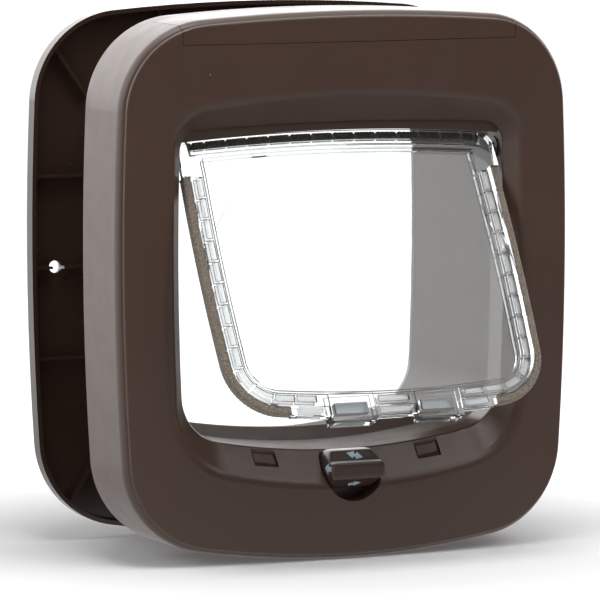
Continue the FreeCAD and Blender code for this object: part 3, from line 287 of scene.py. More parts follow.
@dataclass(frozen=True)
class MouldedPlastic:
    """An opaque moulded plastic."""

    name: str
    color: tuple[float, float, float]
    second: tuple[float, float, float]
    roughness: tuple[float, float] = (0.34, 0.42)
    grain_scale: float = 2400
    grain_depth: float = 0.012 * MM
    specular: float = 0.5

    def build(self, tree: bpy.types.ShaderNodeTree) -> bpy.types.Material:
        """Make the material with the moulded surface group."""
        material, shader = blank_material(self.name)
        surface = use_group(material, tree, Grain_Scale=self.grain_scale, Least_Roughness=self.roughness[0],
                            Most_Roughness=self.roughness[1])
        two_tones(material, surface.outputs["Tone"], shade(*self.color), shade(*self.second))
        material.node_tree.links.new(surface.outputs["Roughness"], shader.inputs["Roughness"])
        bumped(material, surface.outputs["Height"], self.grain_depth)
        shader.inputs["Specular IOR Level"].default_value = self.specular
        return material


@dataclass(frozen=True)
class ClearPlastic:
    """A clear moulded plastic."""

    name: str
    color: tuple[float, float, float] = (245, 248, 248)
    index: float = 1.49
    roughness: float = 0.015
    ripple_depth: float = 0.03 * MM
    transmission: float = 1.0

    def build(self, tree: bpy.types.ShaderNodeTree) -> bpy.types.Material:
        """Make the material, with the faint ripple of a moulded sheet."""
        material, shader = blank_material(self.name)
        shader.inputs["Base Color"].default_value = shade(*self.color)
        shader.inputs["Roughness"].default_value = self.roughness
        shader.inputs["IOR"].default_value = self.index
        shader.inputs["Transmission Weight"].default_value = self.transmission
        surface = use_group(material, tree, Grain_Scale=60.0)
        bumped(material, surface.outputs["Height"], self.ripple_depth)
        return material


@dataclass(frozen=True)
class Fibres:
    """A short pile of two-coloured fibres."""

    name: str
    dark: tuple[float, float, float]
    light: tuple[float, float, float]
    scale: float = 1500
    depth: float = 0.35 * MM

    def build(self, tree: bpy.types.ShaderNodeTree) -> bpy.types.Material:
        """Make the material with the pile's group."""
        material, shader = blank_material(self.name)
        fibres = use_group(material, tree, Fibre_Scale=self.scale)
        two_tones(material, fibres.outputs["Fleck"], shade(*self.dark), shade(*self.light))
        bumped(material, fibres.outputs["Height"], self.depth)
        shader.inputs["Roughness"].default_value = 0.92
        shader.inputs["Specular IOR Level"].default_value = 0.2
        shader.inputs["Sheen Weight"].default_value = 0.35
        shader.inputs["Sheen Roughness"].default_value = 0.5
        return material


@dataclass(frozen=True)
class Metal:
    """A plain metal with a drawn or plated surface."""

    name: str
    color: tuple[float, float, float]
    second: tuple[float, float, float]
    roughness: tuple[float, float] = (0.25, 0.4)

    def build(self, tree: bpy.types.ShaderNodeTree) -> bpy.types.Material:
        """Make the material with the moulded surface group as its fine texture."""
        material, shader = blank_material(self.name)
        surface = use_group(material, tree, Grain_Scale=3500.0, Least_Roughness=self.roughness[0],
                            Most_Roughness=self.roughness[1])
        two_tones(material, surface.outputs["Tone"], shade(*self.color), shade(*self.second))
        material.node_tree.links.new(surface.outputs["Roughness"], shader.inputs["Roughness"])
        bumped(material, surface.outputs["Height"], 0.006 * MM)
        shader.inputs["Metallic"].default_value = 1.0
        return material


class Paints:
    """Every finish of the cat flap, made once."""

    def __init__(self) -> None:
        """Build the node groups and the materials."""
        moulded, fibres = moulded_group(), fibre_group()
        fine = 0.004 * MM
        self.satin_brown = MouldedPlastic(
            "satin_brown", (73, 53, 43), (77, 57, 47), (0.3, 0.37)).build(moulded)
        self.housing_brown = MouldedPlastic(
            "housing_brown", (79, 61, 53), (83, 65, 57), (0.34, 0.42)).build(moulded)
        self.frame_brown = MouldedPlastic(
            "frame_brown", (54, 39, 31), (58, 43, 35), (0.2, 0.28), grain_depth=fine).build(moulded)
        self.tunnel_brown = MouldedPlastic(
            "tunnel_brown", (74, 58, 50), (78, 62, 54), (0.46, 0.54), specular=0.2).build(moulded)
        # Painted shade: the gloss is taken from the up-facing faces low in the passage, on the tunnel and
        # on the bezel's lower lip.
        paint_shade_on_floor(self.tunnel_brown, (0.5, 0.85), (0.2, 0.07))
        paint_shade_on_floor(self.satin_brown, (0.72, 0.88), (0.5, 0.012))
        self.dial_brown = MouldedPlastic(
            "dial_brown", (64, 48, 42), (68, 52, 46), (0.3, 0.36)).build(moulded)
        self.catch_brown = MouldedPlastic(
            "catch_brown", (64, 36, 29), (68, 40, 33), (0.3, 0.38), specular=0.3).build(moulded)
        self.hub_black = MouldedPlastic(
            "hub_black", (28, 28, 30), (34, 34, 36), (0.25, 0.35)).build(moulded)
        self.inner_black = MouldedPlastic(
            "inner_black", (52, 52, 55), (58, 58, 61), (0.4, 0.5)).build(moulded)
        self.board_green = MouldedPlastic(
            "board_green", (30, 92, 58), (36, 100, 64), (0.3, 0.4)).build(moulded)
        self.cell_sleeve = MouldedPlastic(
            "cell_sleeve", (40, 42, 48), (46, 48, 54), (0.25, 0.32)).build(moulded)
        self.arrow_print = MouldedPlastic(
            "arrow_print", (172, 198, 203), (178, 204, 208), (0.45, 0.5), grain_depth=fine).build(moulded)
        self.lamp_lens = MouldedPlastic(
            "lamp_lens", (96, 92, 84), (104, 100, 92), (0.2, 0.3)).build(moulded)
        self.lamp_ring = MouldedPlastic(
            "lamp_ring", (16, 12, 10), (20, 15, 12), (0.5, 0.6)).build(moulded)
        # The channel floors are frosted, and milky and pale besides; the paleness stands for the bright
        # reflections along the flap's rim: painted reflection.
        self.clear_matt_painted_reflection = ClearPlastic(
            "clear_matt_painted_reflection", (236, 239, 240), roughness=0.2, transmission=0.55).build(moulded)
        self.clear = ClearPlastic("clear_flap").build(moulded)
        self.side_pile = Fibres("side_pile", (84, 74, 64), (156, 144, 130)).build(fibres)
        # The rail's pile is lighter than the side pile to make up for the light that the clear rail keeps
        # from it: painted light.
        self.rail_pile = Fibres("rail_pile", (136, 128, 118), (204, 195, 182), scale=1100).build(fibres)
        self.plated = Metal("plated_magnet", (150, 156, 160), (164, 170, 174)).build(moulded)
        self.steel = Metal("plain_steel", (170, 170, 172), (186, 186, 188)).build(moulded)
        self.copper = Metal("winding_copper", (150, 84, 50), (170, 98, 60)).build(moulded)


def dress(material: bpy.types.Material, *names: str) -> None:
    """Give CAD nodes their finish.

    Args:
        material: The finish.
        names: The nodes.
    """
    for name in names:
        node = frame["nodes"][name]
        if not node.material_slots:
            node.data.materials.append(material)
        for item in node.material_slots:
            item.material = material
        LOG.info("dressed %s", name)


def ranged(nodes: bpy.types.Nodes, links: bpy.types.NodeLinks, source: bpy.types.NodeSocket,
           bounds: tuple[float, float], values: tuple[float, float]) -> bpy.types.NodeSocket:
    """Map a value smoothly from one range to another.

    Args:
        nodes: The tree's nodes.
        links: The tree's links.
        source: The value.
        bounds: The range it moves over.
        values: What it becomes at each end.

    Returns:
        The mapped value.
    """
    item = nodes.new("ShaderNodeMapRange")
    item.interpolation_type = "SMOOTHSTEP"
    item.inputs["From Min"].default_value, item.inputs["From Max"].default_value = bounds
    item.inputs["To Min"].default_value, item.inputs["To Max"].default_value = values
    links.new(source, item.inputs["Value"])
    return item.outputs["Result"]


def product(nodes: bpy.types.Nodes, links: bpy.types.NodeLinks,
            *sources: bpy.types.NodeSocket) -> bpy.types.NodeSocket:
    """Multiply two values."""
    item = nodes.new("ShaderNodeMath")
    item.operation = "MULTIPLY"
    for index, source in enumerate(sources):
        links.new(source, item.inputs[index])
    return item.outputs["Value"]


def paint_shade_on_floor(material: bpy.types.Material, bounds: tuple[float, float],
                 speculars: tuple[float, float]) -> None:
    """Paint shade on a material: take its gloss where it faces up low in the passage, so those faces show
    less reflected light.

    Args:
        material: The material.
        bounds: The range of the upward share of its normal.
        speculars: The specular level at each end of that range.
    """
    nodes, links = material.node_tree.nodes, material.node_tree.links
    facing, place = nodes.new("ShaderNodeNewGeometry"), nodes.new("ShaderNodeTexCoord")
    masks = []
    for source, limits, values in ((facing.outputs["Normal"], bounds, (0.0, 1.0)),
                                   (place.outputs["Object"], (-0.06, -0.04), (1.0, 0.0))):
        parts = nodes.new("ShaderNodeSeparateXYZ")
        links.new(source, parts.inputs[0])
        masks.append(ranged(nodes, links, parts.outputs["Z"], limits, values))
    level = ranged(nodes, links, product(nodes, links, *masks), (0.0, 1.0), speculars)
    links.new(level, nodes["Principled BSDF"].inputs["Specular IOR Level"])


# Modelling helpers

def deselect() -> None:
    """Leave nothing selected and nothing in edit mode."""
    if bpy.context.object and bpy.context.object.mode != "OBJECT":
        bpy.ops.object.mode_set(mode="OBJECT")
    bpy.ops.object.select_all(action="DESELECT")


def make_active(item: bpy.types.Object) -> None:
    """Select one object alone and make it active."""
    deselect()
    item.select_set(True)
    bpy.context.view_layer.objects.active = item


def edit_all(item: bpy.types.Object, *steps: tuple[str, dict]) -> None:
    """Run edit-mode operators on all of a mesh.

    Args:
        item: The object.
        steps: Each operator's name in bpy.ops.mesh, with its settings.
    """
    make_active(item)
    bpy.ops.object.mode_set(mode="EDIT")
    for name, settings in steps:
        bpy.ops.mesh.select_all(action="SELECT")
        getattr(bpy.ops.mesh, name)(**settings)
    bpy.ops.object.mode_set(mode="OBJECT")


def apply_modifier(item: bpy.types.Object, kind: str, **settings: object) -> None:
    """Add a modifier and apply it.

    Args:
        item: The object.
        kind: The modifier's type.
        settings: Properties to set on it.
    """
    make_active(item)
    modifier = item.modifiers.new(kind.lower(), kind)
    for label, value in settings.items():
        setattr(modifier, label, value)
    bpy.ops.object.modifier_apply(modifier=modifier.name)


def solid_copy(node_name: str, name: str) -> bpy.types.Object:
    """Copy a CAD node's mesh as one merged closed mesh.

    Args:
        node_name: The node.
        name: The copy's name.

    Returns:
        The copy.
    """
    source = frame["nodes"][node_name]
    copy = bpy.data.objects.new(name, source.data.copy())
    copy.matrix_world = source.matrix_world
    bpy.context.scene.collection.objects.link(copy)
    edit_all(copy, ("remove_doubles", {"threshold": 0.002 * MM}))
    return copy


def tube(name: str, stations: list[list[Vector]]) -> bpy.types.Object:
    """Make a closed solid from rings of points, with its two ends filled.

    Args:
        name: The object's name.
        stations: One ring of points for each place along the solid, all of one length.

    Returns:
        The new object.
    """
    around, length = len(stations[0]), len(stations)
    deselect()
    bpy.ops.mesh.primitive_grid_add(x_subdivisions=around, y_subdivisions=length - 1, size=1.0)
    item = bpy.context.object
    item.name = name
    for index, vertex in enumerate(item.data.vertices):
        row, column = divmod(index, around + 1)
        vertex.co = stations[row][column % around]
    edit_all(item, ("remove_doubles", {"threshold": 0.0005 * MM}), ("fill_holes", {"sides": 0}),
             ("normals_make_consistent", {"inside": False}))
    return item


def joined(name: str, items: list[bpy.types.Object]) -> bpy.types.Object:
    """Join meshes into one object.

    Args:
        name: The new object's name.
        items: The meshes, which are used up.

    Returns:
        The joined object.
    """
    deselect()
    for item in items:
        item.select_set(True)
    bpy.context.view_layer.objects.active = items[0]
    if len(items) > 1:
        bpy.ops.object.join()
    items[0].name = name
    return items[0]


def finish_piece(item: bpy.types.Object, material: bpy.types.Material, slot: Slot, body: Body,
                 *stands_for: str, smooth: float = 35.0) -> None:
    """Give a piece its finish, body and place in the frame.

    Args:
        item: The piece.
        material: Its finish.
        slot: The record's slot; not used.
        body: The body it rides on.
        stands_for: CAD nodes that it replaces.
        smooth: Edges up to this many degrees are shaded smooth.
    """
    item.data.materials.clear()
    item.data.materials.append(material)
    make_active(item)
    bpy.ops.object.shade_smooth_by_angle(angle=math.radians(smooth))
    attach(item, body.value)
    if stands_for:
        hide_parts(*stands_for)
    LOG.info("piece %s: %d faces", item.name, len(item.data.polygons))


# Flap

@dataclass(frozen=True)
class Circle:
    """A circle in the flap's own plane, by its centre and radius."""

    x: float
    z: float
    radius: float

    def touch(self, x: float, z: float) -> tuple[float, float]:
        """The point of this circle in the direction of another point."""
        reach = math.hypot(x - self.x, z - self.z)
        return (self.x + (x - self.x) * self.radius / reach, self.z + (z - self.z) * self.radius / reach)


@dataclass
class Flap:
    """The clear flap with its rim channel, rail, side pile and top pile."""

    half: float = 85 * MM
    above: float = 10 * MM
    below: float = 138.4 * MM
    waist: float = 62 * MM
    side_round: float = 1225 * MM
    top_round: float = 924 * MM
    low_round: float = 600 * MM
    corner: float = 28 * MM
    swing: float = 29.0
    rim_width: float = 7.4 * MM
    rim_thick: float = 7 * MM
    pile_width: float = 4.6 * MM
    pile_thick: float = 5 * MM
    pile_start: float = 11.6 * MM
    pile_end: float = 54 * MM
    top_pile_half: float = 77 * MM
    top_pile_thick: float = 3.3 * MM
    top_pile_tall: float = 4.2 * MM
    top_pile_sunk: float = 0.3 * MM
    groove_thick: float = 3.6 * MM
    groove_tall: float = 7 * MM
    rail_tall: float = 9.6 * MM
    pane_thick: float = 2.4 * MM
    rib_pitch: float = 11.38 * MM
    rib_wide: float = 1.5 * MM
    channel_wide: float = 3.4 * MM
    channel_deep: float = 1.5 * MM
    block_side: float = 36 * MM
    sole_spans: tuple[float, tuple[float, float]] = (8.5 * MM, (37 * MM, 50 * MM))
    sole_inset: float = 3 * MM
    line_drops: tuple[float, float] = (5.4 * MM, 7.6 * MM)
    line_size: float = 0.5 * MM
    wedge_wide: float = 28 * MM
    wedge_tall: float = 40 * MM
    axis: Vector = field(default_factory=lambda: Vector(frame_joint("flap_swing")))

    def swung(self, x: float, out: float, z: float) -> Vector:
        """Place a point given shut, about the axis, where the flap stands open.

        Args:
            x: Place along the axis.
            out: Place across the flap, positive to the outside.
            z: Height above the axis.

        Returns:
            The point in the frame.
        """
        turn = Matrix.Rotation(-math.radians(self.swing), 3, "X")
        return turn @ Vector((x, out, z)) + self.axis

    def outline(self, inset: float, step: float) -> list[tuple[float, float]]:
        """Walk the flap's outline drawn in by an inset, from the top left down and round to the top right.

        Args:
            inset: How far the outline is drawn in.
            step: Distance between points.

        Returns:
            Points across and above the axis, evenly spaced.
        """
        left = Circle(self.side_round - self.half, -self.waist, self.side_round - inset)
        sole = Circle(0.0, self.low_round - self.below, self.low_round - inset)
        corner = max(self.corner - inset, MM)
        centre = self.corner_centre(left, sole, corner)
        start = Vector((left.x - math.sqrt(left.radius ** 2 - self.waist ** 2), 0.0))
        half_path = self.arc(left, (start.x, start.y), left.touch(*centre), step)
        turn = Circle(centre[0], centre[1], corner)
        half_path += self.arc(turn, left.touch(*centre), sole.touch(*centre), step)[1:]
        half_path += self.arc(sole, sole.touch(*centre), (0.0, sole.z - sole.radius), step)[1:]
        return half_path + [(-x, z) for x, z in reversed(half_path[:-1])]

    @staticmethod
    def corner_centre(side: Circle, sole: Circle, radius: float) -> tuple[float, float]:
        """The centre of the lower left corner, which touches side and sole from inside."""
        near, far = side.radius - radius, sole.radius - radius
        between = Vector((sole.x - side.x, sole.z - side.z))
        run = (near ** 2 - far ** 2 + between.length ** 2) / (2 * between.length)
        off = math.sqrt(near ** 2 - run ** 2)
        way = between.normalized()
        points = [(side.x + way.x * run - way.y * reach, side.z + way.y * run + way.x * reach)
                  for reach in (off, -off)]
        return min(points, key=lambda point: point[0] + point[1])

    @staticmethod
    def arc(circle: Circle, start: tuple, end: tuple, step: float) -> list[tuple[float, float]]:
        """Points along the shorter arc of a circle between two of its points."""
        first = math.atan2(start[1] - circle.z, start[0] - circle.x)
        last = math.atan2(end[1] - circle.z, end[0] - circle.x)
        turn = (last - first + math.pi) % (2 * math.pi) - math.pi
        count = max(2, round(abs(turn) * circle.radius / step))
        angles = [first + turn * index / count for index in range(count + 1)]
        return [(circle.x + circle.radius * math.cos(angle), circle.z + circle.radius * math.sin(angle))
                for angle in angles]

    def strip(self, name: str, path: list[tuple[float, float]], profile: list[tuple[float, float]],
              rough: float = 0.0) -> bpy.types.Object:
        """Sweep a profile along a path in the flap's plane.

        Args:
            name: The object's name.
            path: Points across and above the axis.
            profile: Points outwards from the path and across the flap.
            rough: How far tufts stand in or out.

        Returns:
            The swept solid.
        """
        stations = []
        for index, (x, z) in enumerate(path):
            before, after = path[max(index - 1, 0)], path[min(index + 1, len(path) - 1)]
            way = Vector((after[0] - before[0], after[1] - before[1])).normalized()
            away = Vector((way.y, -way.x))
            ring = []
            for side, (out, across) in enumerate(profile):
                along, around = math.sin(index * 2.39 + side * 1.7), math.sin(index * 0.83 + side * 2.9)
                lift = 1.0 + rough * (along * around)
                ring.append(self.swung(x + away.x * out * lift, across * lift, z + away.y * out * lift))
            stations.append(ring)
        return tube(name, stations)

    @staticmethod
    def rounded_profile(wide: float, thick: float, points: int = 20, square: float = 4.0) -> list[tuple]:
        """A soft rectangle's points, by its width and thickness."""
        ring = []
        for index in range(points):
            angle = 2 * math.pi * index / points
            sway = (abs(math.cos(angle)) ** square + abs(math.sin(angle)) ** square) ** (-1 / square)
            ring.append((math.cos(angle) * sway * wide / 2, math.sin(angle) * sway * thick / 2))
        return ring

    @staticmethod
    def box_profile(wide: float, low: float, high: float) -> list[tuple[float, float]]:
        """A rectangle's corners, by its width and its bounds across the flap."""
        return [(-wide / 2, low), (wide / 2, low), (wide / 2, high), (-wide / 2, high)]

    def sunk_strips(self, part: list[tuple[float, float]]) -> list[bpy.types.Object]:
        """Cutters for a channel along a path, in front and behind."""
        bounds = (self.rim_thick / 2 - self.channel_deep, self.rim_thick)
        sides = (bounds, (-bounds[1], -bounds[0]))
        return [self.strip("channel", part, self.box_profile(self.channel_wide, *side)) for side in sides]

    def channel_cutters(self) -> list[bpy.types.Object]:
        """Short sunk channels along the rim, in front and behind, with a cross rib left between them."""
        fine = self.outline(self.pile_width + self.rim_width / 2, MM)
        pitch, first = round(self.rib_pitch / MM), round(self.pile_start / MM)
        cutters = []
        for start in range(first, len(fine) - first - pitch, pitch):
            part = fine[start:start + pitch]
            if abs(part[len(part) // 2][0]) > self.block_side or part[0][1] > -self.waist:
                cutters += self.sunk_strips(part)
        return cutters

    def sole_cutters(self) -> list[bpy.types.Object]:
        """Channels along the bottom edge, which holds no pile: between the blocks and beyond them."""
        between, beyond = self.sole_spans
        rows = ((self.pile_width + self.rim_width / 2, (-between, between)),
                (self.sole_inset, (-between, between)),
                (self.sole_inset, beyond), (self.sole_inset, (-beyond[1], -beyond[0])))
        cutters = []
        for inset, (low, high) in rows:
            part = [(x, z) for x, z in self.outline(inset, MM) if low <= x <= high and z < -self.waist]
            cutters += self.sunk_strips(part)
        return cutters

    def rail_cutters(self) -> list[bpy.types.Object]:
        """Fine level grooves along the rail, in front and behind."""
        cutters = []
        for drop in self.line_drops:
            path = [(x * MM, self.crown(x * MM) - drop) for x in range(-78, 79, 3)]
            for side in (-1, 1):
                bounds = sorted((side * (self.rim_thick / 2 - self.line_size), side * self.rim_thick))
                cutters.append(self.strip("rail_line", path, self.box_profile(self.line_size, *bounds)))
        return cutters

    def crown(self, x: float) -> float:
        """Height of the flap's top above the axis at a place across."""
        return self.above - self.top_round + math.sqrt(self.top_round ** 2 - x ** 2)

    def rib_places(self) -> list[float]:
        """Where the rail's upright ribs stand, closer together at each end."""
        middle = [index * self.rib_pitch for index in range(-6, 7)]
        last = middle[-1] + self.rib_pitch * 0.6
        end = self.top_pile_half + self.rib_wide / 2
        return [-end, -last, *middle, last, end]

    def groove_cutter(self) -> bpy.types.Object:
        """The groove along the rail's top that holds its pile."""
        reach = self.top_pile_half + 0.4 * MM
        steps = 40
        path = [(-reach + 2 * reach * index / steps, 0.0) for index in range(steps + 1)]
        path = [(x, self.crown(x) - self.groove_tall / 2 + MM) for x, _ in path]
        half = self.groove_thick / 2
        return self.strip("pile_groove", path, self.box_profile(self.groove_tall + 2 * MM, -half, half))

    def corner_cutters(self) -> list[bpy.types.Object]:
        """Wedges in front and behind that square the window's upper corners."""
        inset = self.pile_width + self.rim_width
        side = [(x, z) for x, z in self.outline(inset, MM)
                if x < 0 and -self.wedge_tall < z <= -self.rail_tall]
        top_x = side[0][0] + self.wedge_wide
        rail = [(x, self.crown(x) - self.rail_tall) for x in
                (side[0][0] + (top_x - side[0][0]) * index / 14 for index in range(15))]
        ring = [*rail, *reversed(side)]
        cutters = []
        for mirror in (1, -1):
            for face in (1, -1):
                levels = [face * self.pane_thick / 2, face * self.rim_thick]
                stations = [[self.swung(mirror * x, level, z) for x, z in ring] for level in levels]
                cutters.append(tube("corner_wedge", stations))
        return cutters

    def build_clear(self, paints: Paints) -> None:
        """Make the clear flap: the moulded solid with its channels and rail lines cut in."""
        flap = solid_copy("flap_pane", "clear_flap")
        channels = self.channel_cutters() + self.sole_cutters()
        cutter = joined("flap_cutter", channels + self.rail_cutters() + [self.groove_cutter()]
                        + self.corner_cutters())
        apply_modifier(flap, "BOOLEAN", object=cutter, operation="DIFFERENCE", solver="EXACT")
        bpy.data.objects.remove(cutter)
        finish_piece(flap, paints.clear, Slot.CLEAR, Body.FLAP, "flap_pane", smooth=25.0)
        # The channel floors take the pale milky finish, a painted reflection along the rim.
        flap.data.materials.append(paints.clear_matt_painted_reflection)
        across = Matrix.Rotation(-math.radians(self.swing), 3, "X") @ Vector((0, 1, 0))
        floor = self.rim_thick / 2 - self.channel_deep
        for face in flap.data.polygons:
            if abs(face.normal.dot(across)) > 0.9999 or abs(face.normal.x) > 0.9999:
                face.use_smooth = False
                depth = abs((face.center - self.axis).dot(across))
                if abs(depth - floor) < 0.05 * MM:
                    face.material_index = 1

    def build_side_pile(self, paints: Paints) -> None:
        """Make the two side strips of pile, down each side and round the corner."""
        whole = self.outline(self.pile_width / 2, 0.5 * MM)
        for label, sign in (("left", -1), ("right", 1)):
            path = [(x, z) for x, z in whole if sign * x > self.pile_end and z < -self.pile_start]
            strip = self.strip(f"{label}_pile", path, self.rounded_profile(
                self.pile_width - 0.2 * MM, self.pile_thick, 28), rough=0.05)
            finish_piece(strip, paints.side_pile, Slot.PILE, Body.FLAP, f"{label}_brush", smooth=60.0)

    def build_top_pile(self, paints: Paints) -> None:
        """Make the rail's pile: short dark tufts with a clear rib between each two."""
        parts = []
        places = self.rib_places()
        for start, end in zip(places, places[1:]):
            first, last = start + self.rib_wide / 2, end - self.rib_wide / 2
            steps = 16
            path = [(first + (last - first) * i / steps, 0.0) for i in range(steps + 1)]
            path = [(x, self.crown(x) - self.top_pile_tall / 2 - self.top_pile_sunk) for x, _ in path]
            profile = self.rounded_profile(self.top_pile_tall, self.top_pile_thick, 20)
            parts.append(self.strip("tuft", path, profile, rough=0.06))
        pile = joined("rail_pile", parts)
        finish_piece(pile, paints.rail_pile, Slot.PILE, Body.FLAP, "top_brush", smooth=60.0)

    def build(self, paints: Paints) -> None:
        """Make every piece of the flap."""
        self.build_clear(paints)
        self.build_side_pile(paints)
        self.build_top_pile(paints)
        dress(paints.plated, "left_flap_magnet", "right_flap_magnet")


def frame_joint(name: str) -> tuple[float, float, float]:
    """A point on a joint's axis.

    Args:
        name: The joint's name.

    Returns:
        The point that the record gives.
    """
    joints = frame["record"]["behaviour"]["joints"]
    return tuple(next(joint["pos_m"] for joint in joints if joint["name"] == name))


# Dial

@dataclass
class Dial:
    """The four-way dial: a soft-edged grip with a plain arrow on each slope."""

    voxel: float = 0.4 * MM
    smoothing: int = 90
    grip_half: float = 4.3 * MM
    scoop_half: float = 9.4 * MM
    front: float = 56.5 * MM
    slope_start: float = 53.3 * MM
    slope_end: float = 47.0 * MM
    print_thick: float = 0.1 * MM
    print_lift: float = 0.07 * MM
    end: float = 13.4 * MM
    axis: Vector = field(default_factory=lambda: Vector(frame_joint("dial_turn")))

    def build_grip(self, paints: Paints) -> bpy.types.Object:
        """Make the dial with the soft edges of its moulding."""
        grip = solid_copy("selector_dial", "dial_grip")
        apply_modifier(grip, "REMESH", mode="VOXEL", voxel_size=self.voxel)
        apply_modifier(grip, "SMOOTH", factor=0.5, iterations=self.smoothing)
        finish_piece(grip, paints.dial_brown, Slot.BROWN, Body.DIAL, "selector_dial", smooth=60.0)
        return grip

    def arrow(self, grip: bpy.types.Object, name: str, place: Matrix, length: float, wide: float,
              double: bool) -> bpy.types.Object:
        """Make a printed arrow that points along X of its place and lies on the grip.

        Args:
            grip: The dial.
            name: The arrow's name.
            place: Where its middle lies; X runs along it and Z out of the surface.
            length: Its whole length.
            wide: The width of its head.
            double: Whether it has a head at both ends.

        Returns:
            The arrow.
        """
        head = length * (0.42 if double else 0.55)
        deselect()
        bpy.ops.mesh.primitive_circle_add(vertices=3, radius=1.0, fill_type="NGON")
        tip = bpy.context.object
        for vertex, (x, y) in zip(tip.data.vertices, ((length / 2, 0), (length / 2 - head, -wide / 2),
                                                      (length / 2 - head, wide / 2))):
            vertex.co = (x, y, 0)
        deselect()
        bpy.ops.mesh.primitive_plane_add(size=1.0)
        shaft = bpy.context.object
        tail = -length / 2 + (head if double else 0)
        for vertex in shaft.data.vertices:
            vertex.co = (tail if vertex.co.x < 0 else length / 2 - head, vertex.co.y * wide * 0.42, 0)
        parts = [tip, shaft]
        if double:
            other = tip.copy()
            other.data = tip.data.copy()
            bpy.context.scene.collection.objects.link(other)
            for vertex in other.data.vertices:
                vertex.co.x *= -1
            parts.append(other)
        arrow = joined(name, parts)
        edit_all(arrow, ("normals_make_consistent", {"inside": False}), ("subdivide", {"number_cuts": 5}))
        arrow.data.transform(place)
        apply_modifier(arrow, "SHRINKWRAP", target=grip, wrap_method="NEAREST_SURFACEPOINT",
                       wrap_mode="ABOVE_SURFACE", offset=self.print_lift)
        apply_modifier(arrow, "SOLIDIFY", thickness=self.print_thick, offset=0.0)
        edit_all(arrow, ("normals_make_consistent", {"inside": False}))
        return arrow

    def slope_place(self, sign: int, along: float, turn: float) -> Matrix:
        """Where a mark lies on the upper or lower slope.

        Args:
            sign: 1 for the upper slope and -1 for the lower.
            along: Place across the dial.
            turn: Turn of the mark in the slope, in degrees.

        Returns:
            Its place, with Z out of the slope.
        """
        low = Vector((0, -self.slope_start, sign * self.grip_half))
        high = Vector((0, -self.slope_end, sign * self.scoop_half))
        rise = (high - low).normalized()
        across = Vector((1, 0, 0))
        out = across.cross(rise).normalized()
        if out.y > 0:
            out = -out
        middle = (low + high) / 2 + Vector((along, 0, self.axis.z)) + out * 0.3 * MM
        basis = Matrix((across, out.cross(across), out)).transposed().to_4x4()
        return Matrix.Translation(middle) @ basis @ Matrix.Rotation(math.radians(turn), 4, "Z")

    def end_place(self) -> Matrix:
        """Where the mark on the grip's left end lies, pointing to the door."""
        along, out = Vector((0, 1, 0)), Vector((-1, 0, 0))
        basis = Matrix((along, out.cross(along), out)).transposed().to_4x4()
        place = Vector((-self.end - 0.5 * MM, -(self.front + self.slope_end) / 2, self.axis.z + 1.2 * MM))
        return Matrix.Translation(place) @ basis

    def build_arrows(self, grip: bpy.types.Object, paints: Paints) -> None:
        """Make the plain arrows that stand for the dial's settings."""
        arrows = [
            ("arrow_both", self.slope_place(1, 0.6 * MM, -25.0), 8.4 * MM, 5.4 * MM, True),
            ("arrow_out", self.slope_place(-1, 0.5 * MM, 12.0), 6.4 * MM, 4.6 * MM, False),
            ("arrow_in", self.end_place(), 6.6 * MM, 5.6 * MM, False),
        ]
        for name, place, length, wide, double in arrows:
            arrow = self.arrow(grip, name, place, length, wide, double)
            finish_piece(arrow, paints.arrow_print, Slot.BROWN, Body.DIAL)

    def build(self, paints: Paints) -> None:
        """Make every piece of the dial."""
        self.build_arrows(self.build_grip(paints), paints)


# Catches

@dataclass
class Catches:
    """The two catches, sloped like the funnel over a steep nose, with the soft edges of mouldings."""

    voxel: float = 0.25 * MM
    smoothing: int = 5
    offset: float = 43.5 * MM
    nose: Vector = field(default_factory=lambda: Vector((0.0, -43.6 * MM, -89.4 * MM)))
    lean: float = -15.0
    block_wide: float = 30 * MM
    block_deep: float = 10 * MM

    def nose_cutter(self, sign: int) -> bpy.types.Object:
        """A block that cuts the lower edge of a catch's sloped face to a steep nose."""
        deselect()
        bpy.ops.mesh.primitive_cube_add(size=1.0)
        block = bpy.context.object
        turn = Matrix.Rotation(math.radians(self.lean), 4, "X")
        scale = Matrix.Diagonal((self.block_wide, self.block_deep, self.block_deep, 1))
        block.data.transform(Matrix.Translation((0, -self.block_deep / 2, 0)) @ scale)
        block.data.transform(Matrix.Translation(self.nose + Vector((sign * self.offset, 0, 0))) @ turn)
        return block

    def build(self, paints: Paints) -> None:
        """Make both catches."""
        for sign, label, body in ((-1, "left", Body.LEFT_CATCH), (1, "right", Body.RIGHT_CATCH)):
            catch = solid_copy(f"{label}_catch", f"{label}_catch_blade")
            block = self.nose_cutter(sign)
            apply_modifier(catch, "BOOLEAN", object=block, operation="DIFFERENCE", solver="EXACT")
            bpy.data.objects.remove(block)
            apply_modifier(catch, "REMESH", mode="VOXEL", voxel_size=self.voxel)
            apply_modifier(catch, "SMOOTH", factor=0.5, iterations=self.smoothing)
            finish_piece(catch, paints.catch_brown, Slot.BROWN, body, f"{label}_catch", smooth=60.0)


# Dressed assemblies

